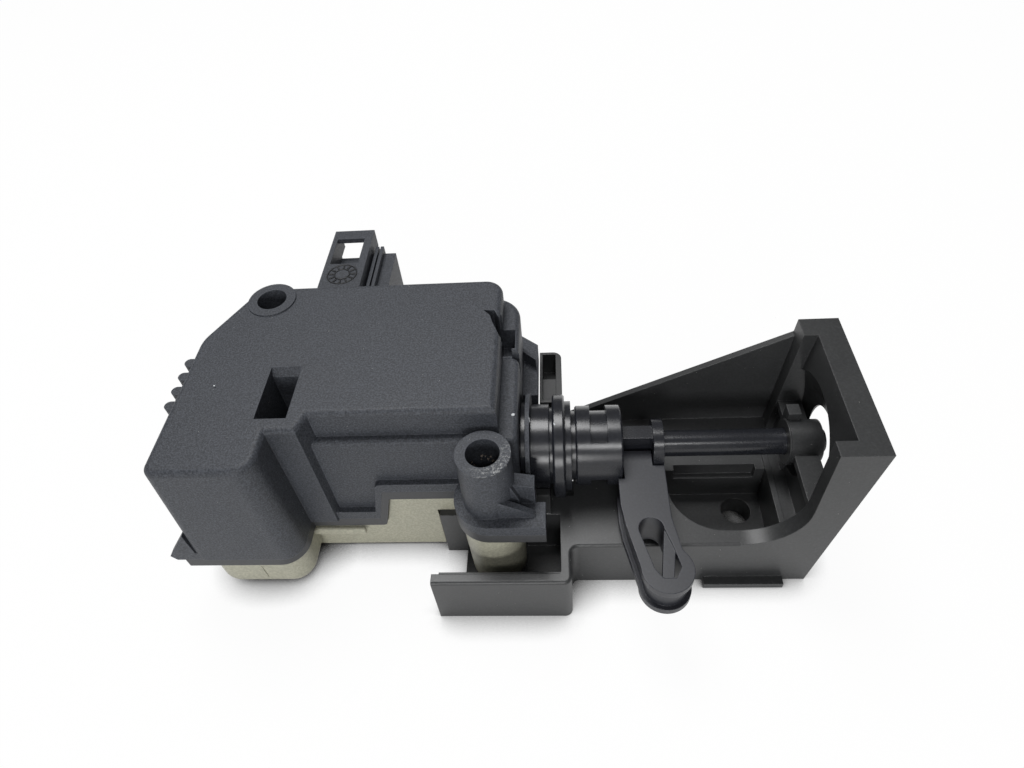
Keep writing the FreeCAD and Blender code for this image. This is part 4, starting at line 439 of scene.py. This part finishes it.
class FLAPLOCK_OT_casing(bpy.types.Operator):
    """Finish the upper shell, its washer and the connector socket"""

    bl_idname = "flaplock.casing"
    bl_label = "Casing"

    def execute(self, context):
        """Textured dark grey moulding, scuffed where screws sit, with a painted highlight on the screw ring's
        front right.
        """
        finish = context.scene.flap_lock_finish
        surface = {"colour": finish.casing, "rough": 0.5, "grain": finish.grain, "depth": finish.grain_depth,
                   "gloss": 0.3, "speckle": 0.3}
        grained = moulded("textured dark grey plastic", **surface)
        add_ring_wear_and_highlight(grained, FRONT_BORE, SCUFF_INNER, SCUFF_OUTER, BOSS_TOP - SCUFF_DEPTH, finish.wear_and_highlight,
                      SCUFF_AND_HIGHLIGHT_COLOUR)
        finish_nodes(["upper_shell"], grained)
        plain = moulded("dark grey connector plastic", **surface)
        finish_nodes(["connector_socket", "lock_washer"], plain)
        return {"FINISHED"}


class FLAPLOCK_OT_lower(bpy.types.Operator):
    """Finish the lower shell and the seal"""

    bl_idname = "flaplock.lower"
    bl_label = "Lower shell and seal"

    def execute(self, context):
        """Pale natural moulding under a black seal."""
        finish = context.scene.flap_lock_finish
        natural = moulded("natural ivory plastic", finish.ivory, rough=0.5, grain=0.5 * MM,
                          depth=0.012 * MM, wear_and_highlight=0.1, mottle=0.05)
        finish_nodes(["lower_shell"], natural)
        rim = block("lower shell rim", *RIM, RIM_SOFT)
        add_piece("lower_shell_rim", rim, "frame", natural)
        draft = block("draft line", *DRAFT, DRAFT_SOFT)
        add_piece("hump_draft_line", draft, "frame", natural)
        rubber = moulded("black elastomer", finish.seal, rough=0.45, grain=0.4 * MM, depth=0.01 * MM,
                         wear_and_highlight=0.4)
        finish_nodes(["shell_seal"], rubber)
        return {"FINISHED"}


class FLAPLOCK_OT_bolt(bpy.types.Operator):
    """Finish the sleeve, the bolt and the release arm"""

    bl_idname = "flaplock.bolt"
    bl_label = "Sleeve, bolt and arm"

    def execute(self, context):
        """Satin black mouldings and soft black seals."""
        finish = context.scene.flap_lock_finish
        satin = moulded("satin black plastic", finish.satin, rough=0.25, grain=0.6 * MM, depth=0.006 * MM,
                        wear_and_highlight=0.6)
        finish_nodes(["nose_sleeve", "bolt_rod", "drive_slider"], satin)
        duller = moulded("satin black arm", shade(finish.satin, 1.5)[:3], rough=0.42, grain=0.5 * MM,
                         depth=0.01 * MM, wear_and_highlight=0.6)
        finish_nodes(["release_arm"], duller)
        tip = rod_tip("rod end", (ROD_END + TIP_AHEAD, AXIS.y, AXIS.z), TIP_RADIUS, TIP_LENGTH, TIP_SOFT)
        add_piece("rod_end", tip, "bolt", satin)
        rubber = moulded("soft black rubber", finish.seal, rough=0.6, grain=0.5 * MM, depth=0.01 * MM,
                         wear_and_highlight=0.2)
        finish_nodes(["lip_seal", "end_buffer"], rubber)
        return {"FINISHED"}


class FLAPLOCK_OT_bracket(bpy.types.Operator):
    """Finish the bracket and its guide bush"""

    bl_idname = "flaplock.bracket"
    bl_label = "Bracket"

    def execute(self, context):
        """Smooth black moulding with a slight sheen."""
        finish = context.scene.flap_lock_finish
        smooth = moulded("smooth black plastic", finish.bracket, rough=0.4, grain=0.45 * MM, depth=0.012 * MM)
        finish_nodes(["bracket"], smooth)
        bearing = moulded("bearing plastic", shade(finish.bracket, 0.8)[:3], rough=0.4, grain=0.5 * MM,
                          depth=0.01 * MM)
        finish_nodes(["guide_bush"], bearing)
        return {"FINISHED"}


class FLAPLOCK_OT_drive(bpy.types.Operator):
    """Finish the motor, the gears and the contacts inside"""

    bl_idname = "flaplock.drive"
    bl_label = "Drive"

    def execute(self, context):
        """Plated steel, white gear plastic and brass."""
        steel = metal("plated steel", colour=(0.62, 0.62, 0.63), rough=0.3, grain=0.4 * MM)
        ground = metal("ground steel", colour=(0.66, 0.66, 0.68), rough=0.18, grain=0.2 * MM)
        brass = metal("stamped brass", colour=(0.80, 0.60, 0.28), rough=0.28, grain=0.3 * MM)
        tinned = metal("tinned brass", colour=(0.72, 0.70, 0.64), rough=0.26, grain=0.3 * MM)
        gear = moulded("white gear plastic", colour=(0.80, 0.79, 0.72), rough=0.42, grain=0.5 * MM,
                       depth=0.008 * MM, wear_and_highlight=0.1, mottle=0.03)
        cap = moulded("motor cap plastic", colour=(0.78, 0.78, 0.74), rough=0.5, grain=0.5 * MM,
                      depth=0.01 * MM, wear_and_highlight=0.1, mottle=0.03)
        dark = moulded("bearing block plastic", colour=(0.05, 0.05, 0.05), rough=0.45, grain=0.5 * MM,
                       depth=0.01 * MM)
        finish_nodes(["motor_can"], steel)
        finish_nodes(["motor_end_cap"], cap)
        finish_nodes(["motor_shaft", "wheel_axle"], ground)
        finish_nodes(["worm", "worm_wheel", "drive_pinion"], gear)
        finish_nodes(["contact_strip_left", "contact_strip_right"], brass)
        finish_nodes(["connector_pins"], tinned)
        finish_nodes(["shaft_bearing"], dark)
        return {"FINISHED"}


class FLAPLOCK_OT_dial(bpy.types.Operator):
    """Raise the date dial on the connector's top"""

    bl_idname = "flaplock.dial"
    bl_label = "Date dial"

    def tree(self, material, numbers):
        """Two rings and a row of radial ticks between them."""
        tree, given, output = new_tree("dial marks", numbers)
        nodes, links = tree.nodes, tree.links
        radius, line = given.outputs["Radius"], given.outputs["Line"]
        joined = nodes.new("GeometryNodeJoinGeometry")
        for share in RING_SHARES:
            ring = nodes.new("GeometryNodeCurvePrimitiveCircle")
            ring.inputs["Resolution"].default_value = 48
            links.new(maths(nodes, links, "MULTIPLY", radius, share), ring.inputs["Radius"])
            wire = nodes.new("GeometryNodeCurvePrimitiveCircle")
            wire.inputs["Resolution"].default_value = 6
            links.new(maths(nodes, links, "MULTIPLY", line, 0.5), wire.inputs["Radius"])
            tube = nodes.new("GeometryNodeCurveToMesh")
            links.new(ring.outputs["Curve"], tube.inputs["Curve"])
            links.new(wire.outputs["Curve"], tube.inputs["Profile Curve"])
            links.new(tube.outputs["Mesh"], joined.inputs["Geometry"])
        track = nodes.new("GeometryNodeCurvePrimitiveCircle")
        links.new(given.outputs["Ticks"], track.inputs["Resolution"])
        links.new(maths(nodes, links, "MULTIPLY", radius, TICK_CENTRE), track.inputs["Radius"])
        place = nodes.new("GeometryNodeInputPosition")
        aim = nodes.new("FunctionNodeAlignEulerToVector")
        aim.axis = "X"
        links.new(place.outputs["Position"], aim.inputs["Vector"])
        size = nodes.new("ShaderNodeCombineXYZ")
        links.new(maths(nodes, links, "MULTIPLY", radius, TICK_LENGTH), size.inputs["X"])
        links.new(line, size.inputs["Y"])
        links.new(line, size.inputs["Z"])
        tick = nodes.new("GeometryNodeMeshCube")
        links.new(size.outputs["Vector"], tick.inputs["Size"])
        points = nodes.new("GeometryNodeInstanceOnPoints")
        links.new(track.outputs["Curve"], points.inputs["Points"])
        links.new(tick.outputs["Mesh"], points.inputs["Instance"])
        links.new(aim.outputs["Rotation"], points.inputs["Rotation"])
        links.new(points.outputs["Instances"], joined.inputs["Geometry"])
        close_tree(tree, joined.outputs["Geometry"], output, material)
        return tree

    def execute(self, context):
        """Build the marks and set them on the socket."""
        finish, detail = context.scene.flap_lock_finish, context.scene.flap_lock_detail
        marks = moulded("dial marks", shade(finish.casing, 0.2)[:3], rough=0.5, grain=0.4 * MM,
                        depth=0.01 * MM, wear_and_highlight=0.1)
        numbers = {"Radius": detail.dial_radius, "Line": detail.dial_line, "Ticks": detail.dial_ticks}
        mesh = grown("dial", bpy.data.meshes.new("dial base"), self.tree(marks, numbers), numbers)
        mesh.transform(Matrix.Translation((DIAL_X, DIAL_Y, SOCKET_TOP)))
        add_piece("date_dial", mesh, "frame")
        return {"FINISHED"}


class FLAPLOCK_OT_dust(bpy.types.Operator):
    """Scatter the fine flecks on the mouldings and the crumbs in the screw boss"""

    bl_idname = "flaplock.dust"
    bl_label = "Dust and crumbs"

    def tree(self, name, material, numbers):
        """Small uneven grains on a mesh's faces."""
        tree, given, output = new_tree(name, numbers)
        nodes, links = tree.nodes, tree.links
        spread = nodes.new("GeometryNodeDistributePointsOnFaces")
        links.new(given.outputs["Geometry"], spread.inputs["Mesh"])
        links.new(given.outputs["Density"], spread.inputs["Density"])
        links.new(given.outputs["Seed"], spread.inputs["Seed"])
        grain = nodes.new("GeometryNodeMeshIcoSphere")
        grain.inputs["Subdivisions"].default_value = 1
        links.new(given.outputs["Size"], grain.inputs["Radius"])
        scale = nodes.new("FunctionNodeRandomValue")
        scale.data_type = "FLOAT_VECTOR"
        scale.inputs[0].default_value = GRAIN_LEAST
        scale.inputs[1].default_value = GRAIN_MOST
        links.new(given.outputs["Seed"], scale.inputs["Seed"])
        turn = nodes.new("FunctionNodeRandomValue")
        turn.data_type = "FLOAT_VECTOR"
        turn.inputs[1].default_value = GRAIN_TURN
        links.new(given.outputs["Seed"], turn.inputs["Seed"])
        points = nodes.new("GeometryNodeInstanceOnPoints")
        links.new(spread.outputs["Points"], points.inputs["Points"])
        links.new(grain.outputs["Mesh"], points.inputs["Instance"])
        links.new(scale.outputs[0], points.inputs["Scale"])
        links.new(turn.outputs[0], points.inputs["Rotation"])
        close_tree(tree, points.outputs["Instances"], output, material)
        return tree

    def execute(self, context):
        """Flecks on the shell and the bracket, crumbs on the bore's wall."""
        detail = context.scene.flap_lock_detail
        pale = moulded("pale dust", (0.42, 0.42, 0.40), rough=0.7, grain=0.2 * MM, depth=0.01 * MM, wear_and_highlight=0,
                       rounding=0.02 * MM)
        numbers = {"Size": detail.fleck, "Density": detail.fleck_density, "Seed": detail.fleck_seed}
        tree = self.tree("dust flecks", pale, numbers)
        for node in ("upper_shell", "bracket"):
            base = frame["nodes"][node].data.copy()
            add_piece("dust_on_" + node, grown(node + " dust", base, tree, numbers), "frame")
        brown = moulded("brown crumbs", (0.16, 0.13, 0.11), rough=0.7, grain=0.2 * MM, depth=0.02 * MM,
                        wear_and_highlight=0, rounding=0.02 * MM)
        numbers = {"Size": detail.crumb, "Density": CRUMB_DENSITY, "Seed": detail.crumb_seed}
        wall = bmesh.new()
        bmesh.ops.create_cone(wall, cap_ends=False, segments=24, radius1=CRUMB_RADIUS, radius2=CRUMB_RADIUS,
                              depth=CRUMB_BAND)
        middle = Vector((FRONT_BORE.x, FRONT_BORE.y, CASING_TOP - CRUMB_DROP))
        bmesh.ops.translate(wall, verts=wall.verts[:], vec=middle)
        ring = as_mesh("crumb ring", wall)
        mesh = grown("crumbs", ring, self.tree("crumbs in bore", brown, numbers), numbers)
        add_piece("crumbs_in_bore", mesh, "frame")
        return {"FINISHED"}


class FLAPLOCK_OT_grease(bpy.types.Operator):
    """Lay the grease drops and streaks on the sleeve and the casing"""

    bl_idname = "flaplock.grease"
    bl_label = "Grease"

    def execute(self, context):
        """Shiny whitish drops and streaks."""
        grease, nodes, links, shader = new_material("whitish grease")
        shader.inputs["Base Color"].default_value = (0.62, 0.64, 0.66, 1)
        shader.inputs["Roughness"].default_value = 0.18
        mesh = beads("grease beads", [SLEEVE_DROP, CASING_DROP, RING_STREAK, MOUTH_STREAK])
        add_piece("grease_beads", mesh, "frame", grease)
        return {"FINISHED"}


def white_to_camera(nodes, links, lit, strength, reach):
    """Mix a lit shader with white for camera and reflections; near the object the white is darkened by
    ambient occlusion, a painted contact shadow.
    """
    path = nodes.new("ShaderNodeLightPath")
    seen = maths(nodes, links, "MAXIMUM", path.outputs["Is Camera Ray"], path.outputs["Is Glossy Ray"])
    seen = maths(nodes, links, "MAXIMUM", seen, path.outputs["Is Transmission Ray"])
    # Ambient occlusion darkens the white near the object: a painted contact shadow
    close = nodes.new("ShaderNodeAmbientOcclusion")
    close.samples = 8
    close.inputs["Distance"].default_value = reach
    glow = nodes.new("ShaderNodeEmission")
    glow.inputs["Color"].default_value = (1, 1, 1, 1)
    links.new(ramp(nodes, links, close.outputs["AO"], low=0.25, high=0.85), glow.inputs["Strength"])
    mix = nodes.new("ShaderNodeMixShader")
    links.new(maths(nodes, links, "MULTIPLY", seen, strength), mix.inputs["Fac"])
    links.new(lit, mix.inputs[1])
    links.new(glow.outputs["Emission"], mix.inputs[2])
    return mix.outputs["Shader"]


class FLAPLOCK_OT_stage(bpy.types.Operator):
    """Set up the floor, the lamps and the camera"""

    bl_idname = "flaplock.stage"
    bl_label = "Stage"

    def floor(self, stage):
        """A pale floor: its lit part keeps the shadow, and the white seen by the camera carries a painted
        contact shadow.
        """
        mesh = bpy.data.meshes.new("floor")
        half = stage.floor_size / 2
        corners = [(-half, -half, 0), (half, -half, 0), (half, half, 0), (-half, half, 0)]
        mesh.from_pydata(corners, [], [(0, 1, 2, 3)])
        plane = bpy.data.objects.new("floor", mesh)
        bpy.context.scene.collection.objects.link(plane)
        material = bpy.data.materials.new("pale floor")
        material.use_nodes = True
        nodes, links = material.node_tree.nodes, material.node_tree.links
        nodes.clear()
        output = nodes.new("ShaderNodeOutputMaterial")
        lit = nodes.new("ShaderNodeBsdfDiffuse")
        lit.inputs["Color"].default_value = FLOOR_COLOUR
        white = white_to_camera(nodes, links, lit.outputs["BSDF"], FLOOR_WHITE, stage.shadow_reach)
        links.new(white, output.inputs["Surface"])
        mesh.materials.append(material)

    def world(self):
        """Even white surroundings."""
        world = bpy.data.worlds.new("studio")
        bpy.context.scene.world = world
        world.use_nodes = True
        nodes, links = world.node_tree.nodes, world.node_tree.links
        background = nodes["Background"]
        background.inputs["Color"].default_value = (1, 1, 1, 1)
        path = nodes.new("ShaderNodeLightPath")
        strength = maths(nodes, links, "MULTIPLY", path.outputs["Is Camera Ray"], WORLD_SEEN)
        links.new(maths(nodes, links, "ADD", strength, WORLD_LIGHT), background.inputs["Strength"])

    def lamp(self, name, place, side, watts):
        """One soft square lamp."""
        light = bpy.data.lights.new(name, "AREA")
        light.shape = "SQUARE"
        light.size = side
        light.energy = watts
        lamp = bpy.data.objects.new(name, light)
        lamp.location = place
        lamp.rotation_euler = (Vector(LAMP_AIM) - Vector(place)).to_track_quat("-Z", "Y").to_euler()
        bpy.context.scene.collection.objects.link(lamp)

    def camera(self, stage):
        """The photograph's viewing angle."""
        data = bpy.data.cameras.new("camera")
        data.sensor_width = SENSOR_WIDTH
        data.lens = stage.focal
        data.clip_start = 0.005
        data.clip_end = 20
        sin_yaw, cos_yaw = math.sin(stage.yaw), math.cos(stage.yaw)
        sin_pitch, cos_pitch = math.sin(stage.pitch), math.cos(stage.pitch)
        sin_roll, cos_roll = math.sin(stage.roll), math.cos(stage.roll)
        ahead = Vector((sin_yaw * cos_pitch, cos_yaw * cos_pitch, -sin_pitch))
        level = Vector((cos_yaw, -sin_yaw, 0))
        rise = level.cross(ahead)
        right = cos_roll * level + sin_roll * rise
        up = -sin_roll * level + cos_roll * rise
        turn = Matrix((right, up, -ahead)).transposed().to_4x4()
        camera = bpy.data.objects.new("camera", data)
        camera.matrix_world = Matrix.Translation(stage.camera_place) @ turn
        bpy.context.scene.collection.objects.link(camera)
        bpy.context.scene.camera = camera

    def execute(self, context):
        """Floor, world, lamps, camera."""
        stage = context.scene.flap_lock_stage
        self.floor(stage)
        self.world()
        for name, place, side, watts in LAMPS:
            self.lamp(name, place, side, watts)
        self.camera(stage)
        context.scene.view_settings.view_transform = "Standard"
        return {"FINISHED"}


OPERATORS = (FLAPLOCK_OT_casing, FLAPLOCK_OT_lower, FLAPLOCK_OT_bolt, FLAPLOCK_OT_bracket, FLAPLOCK_OT_drive,
             FLAPLOCK_OT_dial, FLAPLOCK_OT_dust, FLAPLOCK_OT_grease, FLAPLOCK_OT_stage)


class FLAPLOCK_PT_panel(bpy.types.Panel):
    """Lists the steps and their values"""

    bl_idname = "FLAPLOCK_PT_panel"
    bl_label = "Fuel flap lock"
    bl_space_type = "VIEW_3D"
    bl_region_type = "UI"
    bl_category = "Flap lock"

    def draw(self, context):
        """One button for each step, then the values."""
        scene = context.scene
        for operator in OPERATORS:
            self.layout.operator(operator.bl_idname)
        for group in (scene.flap_lock_finish, scene.flap_lock_detail, scene.flap_lock_stage):
            for name in group.__annotations__:
                self.layout.prop(group, name)


CLASSES = (FlapLockFinish, FlapLockDetail, FlapLockStage) + OPERATORS + (FLAPLOCK_PT_panel,)


def register():
    """Make the classes and their values known."""
    for cls in CLASSES:
        bpy.utils.register_class(cls)
    bpy.types.Scene.flap_lock_finish = PointerProperty(type=FlapLockFinish)
    bpy.types.Scene.flap_lock_detail = PointerProperty(type=FlapLockDetail)
    bpy.types.Scene.flap_lock_stage = PointerProperty(type=FlapLockStage)


def unregister():
    """Take the classes away again."""
    del bpy.types.Scene.flap_lock_stage
    del bpy.types.Scene.flap_lock_detail
    del bpy.types.Scene.flap_lock_finish
    for cls in reversed(CLASSES):
        bpy.utils.unregister_class(cls)


def main():
    """Run every step in order."""
    register()
    bpy.ops.flaplock.casing()
    bpy.ops.flaplock.lower()
    bpy.ops.flaplock.bolt()
    bpy.ops.flaplock.bracket()
    bpy.ops.flaplock.drive()
    bpy.ops.flaplock.dial()
    bpy.ops.flaplock.dust()
    bpy.ops.flaplock.grease()
    bpy.ops.flaplock.stage()


if __name__ == "__main__":
    main()
